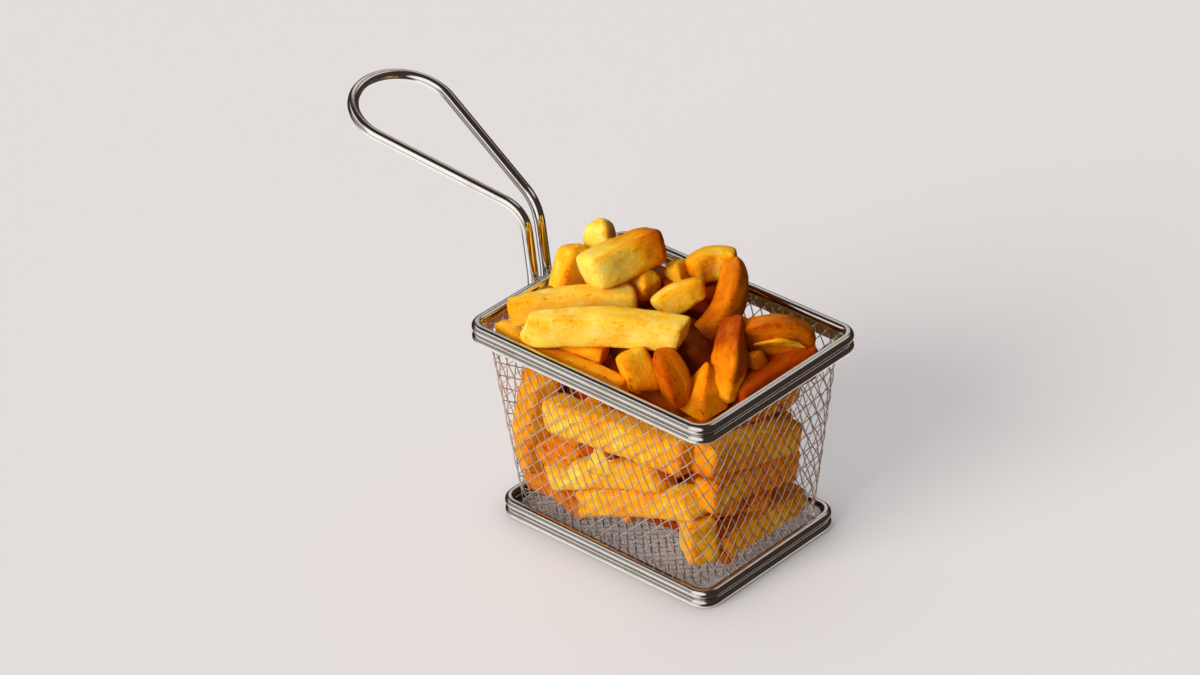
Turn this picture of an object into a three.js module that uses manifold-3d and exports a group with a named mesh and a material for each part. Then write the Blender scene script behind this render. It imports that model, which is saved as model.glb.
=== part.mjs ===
// A portion of chunky french fries in the small wire fryer basket that it is served in.
// Millimetres, +Z up. The basket stands on Z = 0 with its long side along X, and its handle
// leaves the short side that faces -X. X = 0 is the middle of the whole length, handle included.
import * as THREE from "three";
import { mergeGeometries, mergeVertices } from "three/addons/utils/BufferGeometryUtils.js";
import Module from "manifold-3d";

const wasm = await Module();
wasm.setup();

// ---- Driving dimensions ----

// The rim is a folded steel strip with two beads along its outer side.
const RIM = { length: 120, width: 91, top: 87.5, bead: 2.1, depth: 4.2, corner: 8 };
// The base frame is the same strip, smaller, with a flat underside to stand on.
const BASE = { length: 107, width: 78, bead: 2.0, depth: 3.6, corner: 8, sole: 2.8 };
// The woven cloth: its thickness, the corner radius of its walls, its plain hem, the heights where
// its walls start and end, how far inside the rim's outer face they lie there, and how far above
// their feet the floor between them starts.
const CLOTH = { thick: 1.2, corner: 9.4, hem: 1.8 };
const WALL = { top: 78.8, foot: 5.9, topInset: 3.9, footInset: 10.6, sill: 0.4 };
const FLOOR_Z = WALL.foot + WALL.sill;
// A wall's half is flat for so many strips, and then wraps round half a corner in so many.
const STRIPS = { flat: 1, bend: 2 };
// The weave lies on the bias. The solid cloth keeps every fourth wire of a 4.5 mm mesh.
const WEAVE = { pitch: 18, wire: 1.5, rising: 45, falling: -66, least: 9, reach: 160 };
// The handle is one bent wire: two legs against the rim, a bend, and a loop that widens outwards.
const HANDLE = { wire: 4.4, legs: 7.2, reach: 92, rise: 27, lean: 6.3, tilt: 16.8, spread: 14.3, bend: 9 };
// The free gap that every piece keeps from its neighbour, and how far a cutter stands proud.
const GAP = 0.3;
const PROUD = 3;
// Where the basket's own middle lies along X.
const BASKET_X = HANDLE.reach / 2;

// ---- Finishes ----

const STEEL = { color: 0xb9b5b0, roughness: 0.22, metalness: 1 };
const WIRE = { color: 0xa8a29c, roughness: 0.38, metalness: 1 };
const FRIED = { color: 0xe59a24, roughness: 0.55, metalness: 0 };

// ---- Small helpers ----

const radians = THREE.MathUtils.degToRad;

function named(name, geometry, finish) {
  const mesh = new THREE.Mesh(geometry, new THREE.MeshStandardMaterial(finish));
  mesh.name = name;
  return mesh;
}

// A closed geometry with its shared vertices merged, holding positions only.
function welded(geometry) {
  const bare = geometry.index ? geometry.toNonIndexed() : geometry.clone();
  bare.deleteAttribute("normal");
  bare.deleteAttribute("uv");
  return mergeVertices(bare, 1e-4);
}

// A closed geometry as a solid that can be joined and cut.
function solidOf(geometry) {
  const merged = welded(geometry);
  return new wasm.Manifold(
    new wasm.Mesh({
      numProp: 3,
      vertProperties: merged.attributes.position.array,
      triVerts: new Uint32Array(merged.index.array),
    }),
  );
}

// A solid as a geometry again.
function geometryOf(solid) {
  const mesh = solid.getMesh();
  const geometry = new THREE.BufferGeometry();
  geometry.setAttribute("position", new THREE.BufferAttribute(mesh.vertProperties, 3));
  geometry.setIndex(new THREE.BufferAttribute(mesh.triVerts, 1));
  return geometry;
}

// Moves each vertex of a geometry to where a function puts it.
function reshaped(geometry, place) {
  const position = geometry.attributes.position;
  const vertex = new THREE.Vector3();
  for (let i = 0; i < position.count; i++) {
    vertex.fromBufferAttribute(position, i);
    const moved = place(vertex);
    position.setXYZ(i, moved.x, moved.y, moved.z);
  }
  return geometry;
}

// ---- Rim and base frame: a profile swept round a rounded rectangle ----

// The stations of a rounded rectangle, each with the direction that points out of it.
function roundedPath(length, width, corner, steps = 5) {
  const stations = [];
  for (let quarter = 0; quarter < 4; quarter++) {
    const signX = quarter === 0 || quarter === 3 ? 1 : -1;
    const signY = quarter < 2 ? 1 : -1;
    for (let i = 0; i <= steps; i++) {
      const turn = ((quarter + i / steps) * Math.PI) / 2;
      const out = new THREE.Vector2(Math.cos(turn), Math.sin(turn));
      const centre = new THREE.Vector2(signX * (length / 2 - corner), signY * (width / 2 - corner));
      stations.push({ at: centre.addScaledVector(out, corner), out });
    }
  }
  return stations;
}

// Sweeps a closed profile of (inset, height) points round the stations.
function sweptRing(stations, profile) {
  const rows = profile.length;
  const points = [];
  const faces = [];
  stations.forEach(({ at, out }, i) => {
    const next = (i + 1) % stations.length;
    profile.forEach(([inset, height], j) => {
      const up = (j + 1) % rows;
      points.push(at.x - out.x * inset, at.y - out.y * inset, height);
      faces.push(i * rows + j, next * rows + j, next * rows + up);
      faces.push(i * rows + j, next * rows + up, i * rows + up);
    });
  });
  const geometry = new THREE.BufferGeometry();
  geometry.setAttribute("position", new THREE.Float32BufferAttribute(points, 3));
  geometry.setIndex(faces);
  return geometry;
}

// One bead's outer side, from its foot to its crown, as (inset, height) points.
function beadArc(bead, middle, from, to, steps) {
  const arc = [];
  for (let i = 0; i <= steps; i++) {
    const turn = radians(from + ((to - from) * i) / steps);
    arc.push([bead - bead * Math.cos(turn), middle + bead * Math.sin(turn)]);
  }
  return arc;
}

function rimGeometry() {
  const { bead, depth, top } = RIM;
  const profile = [
    ...beadArc(bead, top - 3 * bead, -80, 60, 5),
    ...beadArc(bead, top - bead, -60, 80, 5),
    [depth - bead * 0.4, top],
    [depth, top - bead * 0.5],
    [depth, top - 3.8 * bead],
  ];
  return sweptRing(roundedPath(RIM.length, RIM.width, RIM.corner), profile);
}

function baseGeometry() {
  const { bead, depth, sole } = BASE;
  const profile = [
    [depth - sole, 0],
    ...beadArc(bead, bead, -30, 60, 4),
    ...beadArc(bead, 3 * bead, -60, 80, 5),
    [depth, 4 * bead - bead * 0.4],
    [depth, 0],
  ];
  return sweptRing(roundedPath(BASE.length, BASE.width, BASE.corner), profile);
}

// ---- Wire cloth: flat panels with slanted openings ----

// The part of a convex outline that lies on the inner side of a line.
function clipped(outline, point, inward) {
  const kept = [];
  outline.forEach((a, i) => {
    const b = outline[(i + 1) % outline.length];
    const depthA = a.clone().sub(point).dot(inward);
    const depthB = b.clone().sub(point).dot(inward);
    if (depthA >= 0) kept.push(a);
    if (depthA >= 0 !== depthB >= 0) kept.push(a.clone().lerp(b, depthA / (depthA - depthB)));
  });
  return kept;
}

// A convex outline, drawn counterclockwise, with all its sides moved inwards.
function insetOutline(box, outline, inset) {
  return outline.reduce((kept, a, i) => {
    const along = outline[(i + 1) % outline.length].clone().sub(a).normalize();
    const inward = new THREE.Vector2(-along.y, along.x);
    return clipped(kept, a.clone().addScaledVector(inward, inset), inward);
  }, box);
}

// The opening between two neighbouring wires of each family, as four corners.
function cell(row, column) {
  const normals = [WEAVE.rising, WEAVE.falling].map((angle) => {
    const turn = radians(angle + 90);
    return new THREE.Vector2(Math.cos(turn), Math.sin(turn));
  });
  const [n, m] = normals;
  const det = n.x * m.y - n.y * m.x;
  const cross = (a, b) => new THREE.Vector2((a * m.y - b * n.y) / det, (n.x * b - m.x * a) / det);
  const low = WEAVE.wire / 2;
  const high = WEAVE.pitch - WEAVE.wire / 2;
  const a = row * WEAVE.pitch;
  const b = column * WEAVE.pitch;
  const corners = [cross(a + low, b + low), cross(a + high, b + low)];
  corners.push(cross(a + high, b + high), cross(a + low, b + high));
  return det > 0 ? corners : corners.reverse();
}

// The openings that fit inside a convex outline's hem, each cut right through the cloth.
function openings(outline) {
  const reach = Math.ceil(WEAVE.reach / WEAVE.pitch);
  const holes = [];
  for (let row = -reach; row <= reach; row++) {
    for (let column = -reach; column <= reach; column++) {
      const hole = insetOutline(cell(row, column), outline, CLOTH.hem);
      if (hole.length < 3 || Math.abs(THREE.ShapeUtils.area(hole)) < WEAVE.least) continue;
      const depth = CLOTH.thick + 2 * PROUD;
      const prism = new THREE.ExtrudeGeometry(new THREE.Shape(hole), { depth, bevelEnabled: false });
      holes.push(prism.translate(0, 0, -PROUD));
    }
  }
  return mergeGeometries(holes);
}

// How far inside the rim's outer face the cloth's outer face lies, at a height.
function clothInset(height) {
  const down = (WALL.top - height) / (WALL.top - WALL.foot);
  return THREE.MathUtils.lerp(WALL.topInset, WALL.footInset, down);
}

// A wall as it faces -Y, leaning with the basket, its ends wrapped round half of each corner.
function wallGeometry(along, across) {
  const arc = (CLOTH.corner * Math.PI) / 4 - GAP;
  const flatHalf = (height) => along / 2 - clothInset(height) - CLOTH.corner;
  const lay = ({ x, y, z }) => {
    const flat = flatHalf(y);
    const turn = Math.max(0, Math.abs(x) - flat) / CLOTH.corner;
    const radius = CLOTH.corner - CLOTH.thick + z;
    const side = Math.sign(x) * (Math.min(Math.abs(x), flat) + radius * Math.sin(turn));
    const out = across / 2 - clothInset(y) - CLOTH.corner + radius * Math.cos(turn);
    return new THREE.Vector3(side, -out, y);
  };
  const unrolled = ({ x, y, z }) => {
    const height = y < 0 ? WALL.foot : WALL.top;
    const strip = Math.abs(x);
    const share = Math.min(strip, STRIPS.flat) / STRIPS.flat;
    const wrapped = Math.max(0, strip - STRIPS.flat) / STRIPS.bend;
    return new THREE.Vector3(Math.sign(x) * (share * flatHalf(height) + wrapped * arc), height, z);
  };
  const strips = 2 * (STRIPS.flat + STRIPS.bend);
  const slab = new THREE.BoxGeometry(strips, 2, CLOTH.thick, strips, 1, 1);
  slab.translate(0, 0, CLOTH.thick / 2);
  reshaped(reshaped(slab, unrolled), lay);
  const low = flatHalf(WALL.foot) + arc;
  const high = flatHalf(WALL.top) + arc;
  const outline = [
    new THREE.Vector2(-low, WALL.foot),
    new THREE.Vector2(low, WALL.foot),
    new THREE.Vector2(high, WALL.top),
    new THREE.Vector2(-high, WALL.top),
  ];
  return geometryOf(solidOf(slab).subtract(solidOf(reshaped(openings(outline), lay))));
}

function floorGeometry() {
  const inset = clothInset(FLOOR_Z) + CLOTH.thick + GAP;
  const corner = CLOTH.corner - CLOTH.thick - GAP;
  const path = roundedPath(RIM.length - 2 * inset, RIM.width - 2 * inset, corner, 2);
  const outline = path.map(({ at }) => at);
  const slab = new THREE.ExtrudeGeometry(new THREE.Shape(outline), {
    depth: CLOTH.thick,
    bevelEnabled: false,
  });
  const floor = geometryOf(solidOf(slab).subtract(solidOf(openings(outline))));
  return floor.translate(0, 0, FLOOR_Z);
}

// ---- Handle ----

// The round far end of the handle's loop, in the plane of a direction and Y.
class LoopEnd extends THREE.Curve {
  constructor(centre, out, radius, sweep) {
    super();
    Object.assign(this, { centre, out, radius, sweep });
  }

  getPoint(t, target = new THREE.Vector3()) {
    const turn = (t - 0.5) * this.sweep;
    target.copy(this.centre).addScaledVector(this.out, this.radius * Math.cos(turn));
    return target.add(new THREE.Vector3(0, this.radius * Math.sin(turn), 0));
  }
}

// Where the handle's legs stand against the rim.
const FOOT_X = -RIM.length / 2 - GAP - HANDLE.wire / 2;

// The corners of one side of the handle: its foot, where it leaves the rim, its bend, and where
// its loop turns round.
function handleSide(side, knee, out, loop) {
  const half = (side * HANDLE.legs) / 2;
  const foot = new THREE.Vector3(FOOT_X, half, RIM.top - 4 * RIM.bead);
  const leave = new THREE.Vector3(FOOT_X, half, RIM.top);
  const bend = new THREE.Vector3(knee.x, half, knee.z);
  const spread = radians(HANDLE.spread);
  const turn = bend.clone().addScaledVector(out, loop.middle - loop.radius * Math.sin(spread));
  turn.y = side * loop.radius * Math.cos(spread);
  return { foot, leave, bend, turn };
}

// One side of the wire as curves, running from the foot to the loop's end.
function sideCurves({ foot, leave, bend, turn }) {
  const before = bend.clone().add(leave.clone().sub(bend).setLength(HANDLE.bend));
  const after = bend.clone().add(turn.clone().sub(bend).setLength(HANDLE.bend));
  return [
    new THREE.LineCurve3(foot, leave),
    new THREE.LineCurve3(leave, before),
    new THREE.QuadraticBezierCurve3(before, bend, after),
    new THREE.LineCurve3(after, turn),
  ];
}

// The same curves, running the other way.
function reversed(curves) {
  return curves.toReversed().map((curve) => {
    const line = curve instanceof THREE.LineCurve3;
    if (line) return new THREE.LineCurve3(curve.v2, curve.v1);
    return new THREE.QuadraticBezierCurve3(curve.v2, curve.v1, curve.v0);
  });
}

function handlePath() {
  const knee = { x: FOOT_X - HANDLE.rise * Math.tan(radians(HANDLE.lean)), z: RIM.top + HANDLE.rise };
  const tilt = radians(HANDLE.tilt);
  const out = new THREE.Vector3(-Math.cos(tilt), 0, Math.sin(tilt));
  const tip = (RIM.length / 2 + HANDLE.reach - HANDLE.wire / 2 + knee.x) / Math.cos(tilt);
  const spread = radians(HANDLE.spread);
  // The end is tangent to both sides: radius = (legs / 2 + middle * tan) * cos, and tip = middle + radius.
  const sin = Math.sin(spread);
  const middle = (tip - (HANDLE.legs / 2) * Math.cos(spread)) / (1 + sin);
  const loop = { middle, radius: tip - middle };
  const centre = new THREE.Vector3(knee.x, 0, knee.z).addScaledVector(out, loop.middle);
  const [near, far] = [-1, 1].map((side) => sideCurves(handleSide(side, knee, out, loop)));
  const path = new THREE.CurvePath();
  near.forEach((curve) => path.add(curve));
  path.add(new LoopEnd(centre, out, loop.radius, Math.PI + 2 * spread));
  reversed(far).forEach((curve) => path.add(curve));
  return path;
}

function handleGeometry() {
  const section = new THREE.Shape();
  section.absarc(0, 0, HANDLE.wire / 2, 0, 2 * Math.PI);
  return new THREE.ExtrudeGeometry(section, {
    curveSegments: 4,
    steps: 56,
    extrudePath: handlePath(),
  });
}

// ---- Fries ----

// Each chip runs from one end's middle to the other's, in the basket's own frame.
// size is its width and height, via where its middle line passes halfway, or bow how far it bends
// upwards, roll its turn about its length, ends the share of its thickness that it keeps at
// either end, and sharp how late that taper sets in.
const TOP_CHIPS = [
  { from: [-34.1, -40.2, 91.5], via: [-7.9, -23.4, 95], to: [19.1, -7.8, 95], size: [12, 13.5], roll: 4 },
  { from: [-45.8, -35.3, 92], via: [-29, -17.8, 95.4], to: [-12, -0.3, 95], size: [10, 10.5] },
  { from: [-27.2, -11.5, 104.5], to: [-18.9, 19.9, 106.5], size: [17, 15], roll: -20 },
  { from: [-44.3, 16, 110.5], to: [-41.6, 12.6, 66], size: [12, 12], roll: 20, ends: [0.6, 1], sharp: 6 },
  { from: [-45.2, 4.2, 104], to: [-47.6, -5, 66], size: [14, 12.5], roll: 10, ends: [0.6, 1], sharp: 4 },
  { from: [-16.5, 6.5, 106], to: [-15.4, 7.4, 90], size: [10, 10], roll: 45, ends: [0.1, 1], sharp: 1 },
  { from: [-12.5, 20.2, 100.5], to: [-10.6, 21.4, 84], size: [10, 10], roll: 10, ends: [0.8, 1] },
  { from: [5, 18.2, 98], to: [-2.6, 1.2, 92], size: [11, 10.5], roll: 20, ends: [0.8, 1] },
  { from: [-7.2, 23.9, 95], via: [-3.3, 33.9, 97], to: [3.7, 39.6, 97], size: [9, 13] },
  {
    from: [2.2, 38.6, 100], via: [15.3, 18.2, 91], to: [8.6, -0.5, 77],
    size: [11.5, 11], roll: 10, ends: [0.6, 0.9], sharp: 3,
  },
  {
    from: [23.6, 16.5, 92], via: [32.9, 0.8, 84], to: [37.8, -7.4, 72],
    size: [12, 12], roll: 20, ends: [0.5, 0.25],
  },
  { from: [27.8, 13.6, 84], via: [35.3, 23.8, 86], to: [45.2, 34.1, 80], size: [10, 16], ends: [0.9, 0.6] },
  { from: [34.2, 10.8, 84], to: [38.5, 11.2, 74], size: [8, 8], ends: [1, 0.4], sharp: 1 },
  { from: [29.4, -7, 86], to: [29, -11.1, 68], size: [14, 12], roll: 30, ends: [0.15, 1.15], sharp: 1 },
  {
    from: [13.3, -16.1, 89], via: [21.9, -18.3, 82], to: [22.6, -16.7, 70],
    size: [11.5, 11], roll: 15, ends: [0.75, 0.7],
  },
  { from: [4.1, -24.1, 90], to: [12, -25, 77], size: [12, 12], roll: 15, ends: [0.9, 1.1] },
  { from: [-31, -36.4, 82], via: [-10.8, -33.1, 81], to: [10.8, -32.1, 80], size: [6, 6] },
  { from: [-25.2, -29.4, 84], to: [-6.2, -24.7, 84], size: [7, 7] },
  { from: [-52.9, -33.3, 82], to: [-26, -35.6, 81.5], size: [6, 6] },
];

// What shows through the long wall that faces -Y.
const FRONT_CHIPS = [
  { from: [-34, -32, 69], to: [-46, -29, 21], size: [12, 11] },
  { from: [-30, -31, 53], to: [42, -32, 61], size: [12, 14] },
  { from: [-46, -27.5, 32], to: [-20, -27, 30], size: [12, 13], roll: 12 },
  { from: [-1, -33.5, 41], to: [-18, -8, 30], size: [12, 12], roll: 10 },
  { from: [-33, -27, 21], to: [26, -29, 46], size: [11, 12] },
  { from: [-18, -27.5, 14], to: [43, -29.5, 41], size: [11, 12] },
  { from: [38, -28, 33], to: [39, -25, 13], size: [14, 13], roll: 10 },
  { from: [-46, -27.5, 17], to: [-12, -28, 13.5], size: [10, 11], roll: 8 },
];

// What shows through the short wall that faces +X.
const SIDE_CHIPS = [
  { from: [46, -31, 62], to: [45, 22, 46], size: [12, 14] },
  { from: [45, -30, 45], to: [43, 22, 33], size: [12, 13] },
  { from: [42, -20, 15.5], to: [41, 28, 14], size: [12, 12] },
  { from: [40, -14, 30], to: [36, -2, 26], size: [11, 11] },
];

// Rows of chips behind a hidden wall: two chips a row, in rows that rise by a step. clear is what
// a chip's middle line keeps from the wall, and play what its size and place vary by.
const ROWS = { first: 14, last: 75, step: 14, clear: 9, size: [12, 11], play: 2, tilt: 15, roll: 20 };
const BACK_ROWS = { along: RIM.length, across: RIM.width, seed: 7, spare: [14, 6] };
const LEFT_ROWS = { along: RIM.width, across: RIM.length, seed: 12, spare: [4, 12] };

// A chip's rounded edge as a share of its thickness.
const CHIP_EDGE = 0.22;

// The bare core that the chips are sunk in, as (share of its half sizes, height).
const CORE = { halfX: 43, halfY: 30, sides: 12 };
const CORE_PROFILE = [
  [0, 14], [0.55, 14], [0.9, 36], [1, 58], [0.95, 80], [0.55, 94], [0, 97],
];
// The room that the heap is held to is open upwards as far as this height.
const ROOM_TOP = 140;

// A repeatable draw between 0 and 1.
function drawer(seed) {
  let state = seed;
  return () => {
    state = (state * 16807) % 2147483647;
    return state / 2147483647;
  };
}

// The rows against a wall that faces -Y, each kept short of the wall's ends by the spare lengths.
function rowsOfChips({ along, across, seed, spare }) {
  const draw = drawer(seed);
  const chips = [];
  for (let height = ROWS.first; height < ROWS.last; height += ROWS.step) {
    const half = along / 2 - clothInset(height) - ROWS.play;
    const depth = across / 2 - clothInset(height) - ROWS.clear;
    const ends = [-half + spare[0], half - spare[1]];
    const middle = (ends[0] + ends[1]) / 2 + (draw() - 0.5) * ROWS.step;
    for (const end of ends) {
      const tilt = (draw() - 0.5) * ROWS.tilt;
      const inner = middle + Math.sign(end - middle) * ROWS.play;
      const from = [inner, -depth + draw() * ROWS.play, height + tilt / 2];
      const to = [end, -depth + draw() * ROWS.play, height - tilt / 2];
      const size = ROWS.size.map((thick) => thick + draw() * ROWS.play);
      chips.push({ from, to, size, roll: draw() * ROWS.roll });
    }
  }
  return chips;
}

// A chip: a rounded bar, bent along its middle line, with blunt or tapering ends.
function chipGeometry({ from, via, to, size: [width, height], bow = 1, roll = 0, ends = [1, 1], sharp = 2 }) {
  const start = new THREE.Vector3(...from);
  const end = new THREE.Vector3(...to);
  const length = start.distanceTo(end);
  const [x, y, edge] = [width / 2, height / 2, Math.min(width, height) * CHIP_EDGE];
  const section = new THREE.Shape([
    new THREE.Vector2(x, y - edge), new THREE.Vector2(x - edge, y),
    new THREE.Vector2(edge - x, y), new THREE.Vector2(-x, y - edge),
    new THREE.Vector2(-x, edge - y), new THREE.Vector2(edge - x, -y),
    new THREE.Vector2(x - edge, -y), new THREE.Vector2(x, edge - y),
  ]);
  const bar = new THREE.ExtrudeGeometry(section, {
    depth: length - 2 * edge,
    steps: 3,
    bevelThickness: edge,
    bevelSize: edge,
    bevelOffset: -edge,
    bevelSegments: 1,
  });
  bar.translate(0, 0, edge);
  bar.rotateZ(radians(roll));
  const forward = end.clone().sub(start).normalize();
  const side = new THREE.Vector3(0, 0, 1).cross(forward).normalize();
  const up = forward.clone().cross(side);
  const middle = start.clone().add(end).divideScalar(2);
  const passed = via ? new THREE.Vector3(...via) : middle.clone().addScaledVector(up, bow);
  const corner = passed.multiplyScalar(2).sub(middle);
  return reshaped(bar, (v) => {
    const share = v.z / length;
    const along = 2 * share - 1;
    const keep = THREE.MathUtils.lerp(1, along < 0 ? ends[0] : ends[1], Math.abs(along) ** sharp);
    const [first, second] = [start.clone().lerp(corner, share), corner.clone().lerp(end, share)];
    const way = second.clone().sub(first).normalize();
    const turn = new THREE.Quaternion().setFromUnitVectors(forward, way);
    const out = side.clone().multiplyScalar(v.x * keep).addScaledVector(up, v.y * keep);
    return first.lerp(second, share).add(out.applyQuaternion(turn));
  });
}

// The room that the cloth and the rim leave free, open upwards past the top of the heap.
function roomGeometry() {
  const low = FLOOR_Z + CLOTH.thick + GAP;
  const corner = CLOTH.corner - CLOTH.thick - GAP;
  const outline = roundedPath(RIM.length, RIM.width, corner).map(({ at }) => at);
  const room = new THREE.ExtrudeGeometry(new THREE.Shape(outline), { depth: 1, bevelEnabled: false });
  return reshaped(room, ({ x, y, z }) => {
    const height = z > 0 ? ROOM_TOP : low;
    const inset = clothInset(height) + CLOTH.thick + GAP;
    return new THREE.Vector3(x - Math.sign(x) * inset, y - Math.sign(y) * inset, height);
  });
}

function coreGeometry() {
  const profile = CORE_PROFILE.map(([share, height]) => new THREE.Vector2(share, height));
  const core = new THREE.LatheGeometry(profile, CORE.sides);
  core.rotateX(Math.PI / 2);
  return core.scale(CORE.halfX, CORE.halfY, 1);
}

// Chips against the two walls that face away, turned to where those walls are.
function farChips() {
  const back = rowsOfChips(BACK_ROWS).map(chipGeometry);
  const left = rowsOfChips(LEFT_ROWS).map(chipGeometry);
  back.forEach((chip) => chip.rotateZ(Math.PI));
  left.forEach((chip) => chip.rotateZ(-Math.PI / 2));
  return [...back, ...left];
}

// The whole heap as one solid: what fusing seals is filled, and loose scraps are dropped.
function friesGeometry() {
  const near = [...TOP_CHIPS, ...FRONT_CHIPS, ...SIDE_CHIPS].map(chipGeometry);
  const chips = [...near, ...farChips()];
  const heap = chips.reduce((whole, chip) => whole.add(solidOf(chip)), solidOf(coreGeometry()));
  const shells = heap.intersect(solidOf(roomGeometry())).decompose();
  return geometryOf(shells.reduce((best, shell) => (shell.volume() > best.volume() ? shell : best)));
}

// ---- The part ----

// A wall of cloth, made facing -Y and turned to its own side.
function wall(name, along, across, turn) {
  const mesh = named(name, wallGeometry(along, across), WIRE);
  mesh.rotation.z = radians(turn);
  return mesh;
}

const basket = new THREE.Group();
basket.add(
  named("top_rim", rimGeometry(), STEEL),
  named("base_frame", baseGeometry(), STEEL),
  named("handle", handleGeometry(), STEEL),
  wall("mesh_front", RIM.length, RIM.width, 0),
  wall("mesh_right", RIM.width, RIM.length, 90),
  wall("mesh_back", RIM.length, RIM.width, 180),
  wall("mesh_left", RIM.width, RIM.length, 270),
  named("mesh_floor", floorGeometry(), WIRE),
  named("fries_heap", friesGeometry(), FRIED),
);
basket.position.x = BASKET_X;

const part = new THREE.Group();
part.add(basket);

export default part;
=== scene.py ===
"""Dresses a portion of chunky fries in its small wire fryer basket.

Sizes are millimetres in the basket's own frame: it stands on Z = 0 with its middle on X = Y = 0,
its long sides face -Y and +Y, and its handle leaves the short side that faces -X.
"""

from __future__ import annotations

import logging
import math
import random
from collections.abc import Callable, Iterable, Iterator, Sequence
from contextlib import contextmanager
from dataclasses import dataclass, field
from enum import Enum
from itertools import groupby

import bmesh
import bpy
from mathutils import Matrix, Vector, noise

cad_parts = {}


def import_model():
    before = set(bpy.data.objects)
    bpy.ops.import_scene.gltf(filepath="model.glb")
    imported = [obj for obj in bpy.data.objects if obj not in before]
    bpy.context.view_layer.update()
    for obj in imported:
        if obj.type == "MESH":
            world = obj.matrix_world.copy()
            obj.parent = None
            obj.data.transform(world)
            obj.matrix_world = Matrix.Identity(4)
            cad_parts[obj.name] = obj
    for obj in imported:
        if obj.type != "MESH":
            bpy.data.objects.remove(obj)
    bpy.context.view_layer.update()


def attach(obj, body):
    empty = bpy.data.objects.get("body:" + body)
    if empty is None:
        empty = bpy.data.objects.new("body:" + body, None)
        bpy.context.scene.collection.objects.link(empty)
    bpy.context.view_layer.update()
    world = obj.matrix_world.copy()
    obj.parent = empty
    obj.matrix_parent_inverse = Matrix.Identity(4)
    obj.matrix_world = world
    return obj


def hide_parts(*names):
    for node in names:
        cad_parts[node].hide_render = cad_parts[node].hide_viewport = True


LOG = logging.getLogger("fries")

Piece = bpy.types.Object
Pair = tuple[float, float]
Triple = tuple[float, float, float]
# Takes a point of the flat cloth and how far it stands proud, and gives where it stands, or nothing
# where the cloth ends.
Placing = Callable[[Vector, float], Vector | None]

MM = 0.001
BASKET_X = 46.0  # the basket's middle along X in the part's frame


def placed(point: Sequence[float]) -> Vector:
    """Returns a point of the basket's frame in the part's frame, in metres."""
    return Vector((point[0] + BASKET_X, point[1], point[2])) * MM


def mixed(low: float, high: float, share: float) -> float:
    """Returns the value that lies at a share of the way from low to high."""
    return low + (high - low) * share


def uneven(point: Vector) -> Vector:
    """Returns a smooth uneven offset at a point, up to 1 each way and the same in every run."""
    apart = Vector((17.3, 5.1, 9.7))
    return Vector([noise.noise(point + apart * axis) for axis in range(3)])


# ---- Work at the bench: selecting, editing and finishing a mesh ----


def alone(piece: Piece) -> Piece:
    """Selects one object and nothing else, makes it active, and returns it."""
    bpy.ops.object.select_all(action="DESELECT")
    piece.select_set(True)
    bpy.context.view_layer.objects.active = piece
    return piece


@contextmanager
def editing(piece: Piece) -> Iterator[None]:
    """Holds one object in edit mode.

    Args:
        piece: The object to edit.
    """
    alone(piece)
    bpy.ops.object.mode_set(mode="EDIT")
    try:
        yield
    finally:
        bpy.ops.object.mode_set(mode="OBJECT")


def active(name: str) -> Piece:
    """Names the object that an operator has just made, and returns it."""
    made = bpy.context.view_layer.objects.active
    made.name = made.data.name = name
    return made


def settle(piece: Piece) -> None:
    """Moves an object's place, turn and scale into its mesh."""
    alone(piece)
    bpy.ops.object.transform_apply(location=True, rotation=True, scale=True)


def smooth(piece: Piece) -> None:
    """Shades a piece smooth all over."""
    alone(piece)
    bpy.ops.object.shade_smooth()


def pick_along(piece: Piece, axis: int) -> None:
    """Selects the edges that run along one axis, in edit mode.

    Args:
        piece: The object in edit mode.
        axis: 0, 1 or 2 for X, Y or Z.
    """
    nearly = 0.999
    bpy.ops.mesh.select_mode(type="EDGE")
    bpy.ops.mesh.select_all(action="DESELECT")
    mesh = bmesh.from_edit_mesh(piece.data)
    for edge in mesh.edges:
        step = edge.verts[1].co - edge.verts[0].co
        if abs(step[axis]) > nearly * step.length:
            edge.select_set(True)
    mesh.select_flush_mode()
    bmesh.update_edit_mesh(piece.data)


def modified(piece: Piece, kind: str, **settings: object) -> None:
    """Adds a modifier to a piece and applies it.

    Args:
        piece: The object to change.
        kind: The modifier's type.
        settings: The modifier's settings by name.
    """
    alone(piece)
    modifier = piece.modifiers.new(kind.title(), kind)
    for name, value in settings.items():
        setattr(modifier, name, value)
    bpy.ops.object.modifier_apply(modifier=modifier.name)


def tidy_mesh(piece: Piece, merge: float, angle: float) -> None:
    """Merges doubled points, turns the faces outwards and shades the piece smooth.

    Args:
        piece: The object to finish.
        merge: The distance below which two points are one, in metres.
        angle: The bend between two faces above which their edge stays sharp, in degrees.
    """
    with editing(piece):
        bpy.ops.mesh.select_all(action="SELECT")
        bpy.ops.mesh.remove_doubles(threshold=merge)
        bpy.ops.mesh.normals_make_consistent(inside=False)
    bpy.ops.object.shade_smooth_by_angle(angle=math.radians(angle))


def joined(pieces: Sequence[Piece], name: str) -> Piece:
    """Joins several objects into one.

    Args:
        pieces: The objects, which are used up.
        name: The name of the whole.

    Returns:
        The whole.
    """
    alone(pieces[0])
    for piece in pieces:
        piece.select_set(True)
    bpy.ops.object.join()
    return active(name)


def copied(pattern: Piece, name: str) -> Piece:
    """Returns a copy of an object with a mesh of its own.

    Args:
        pattern: The object to copy.
        name: The copy's name.

    Returns:
        The copy, linked to the scene.
    """
    copy = pattern.copy()
    copy.data = pattern.data.copy()
    copy.name = name
    bpy.context.scene.collection.objects.link(copy)
    return copy


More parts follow.
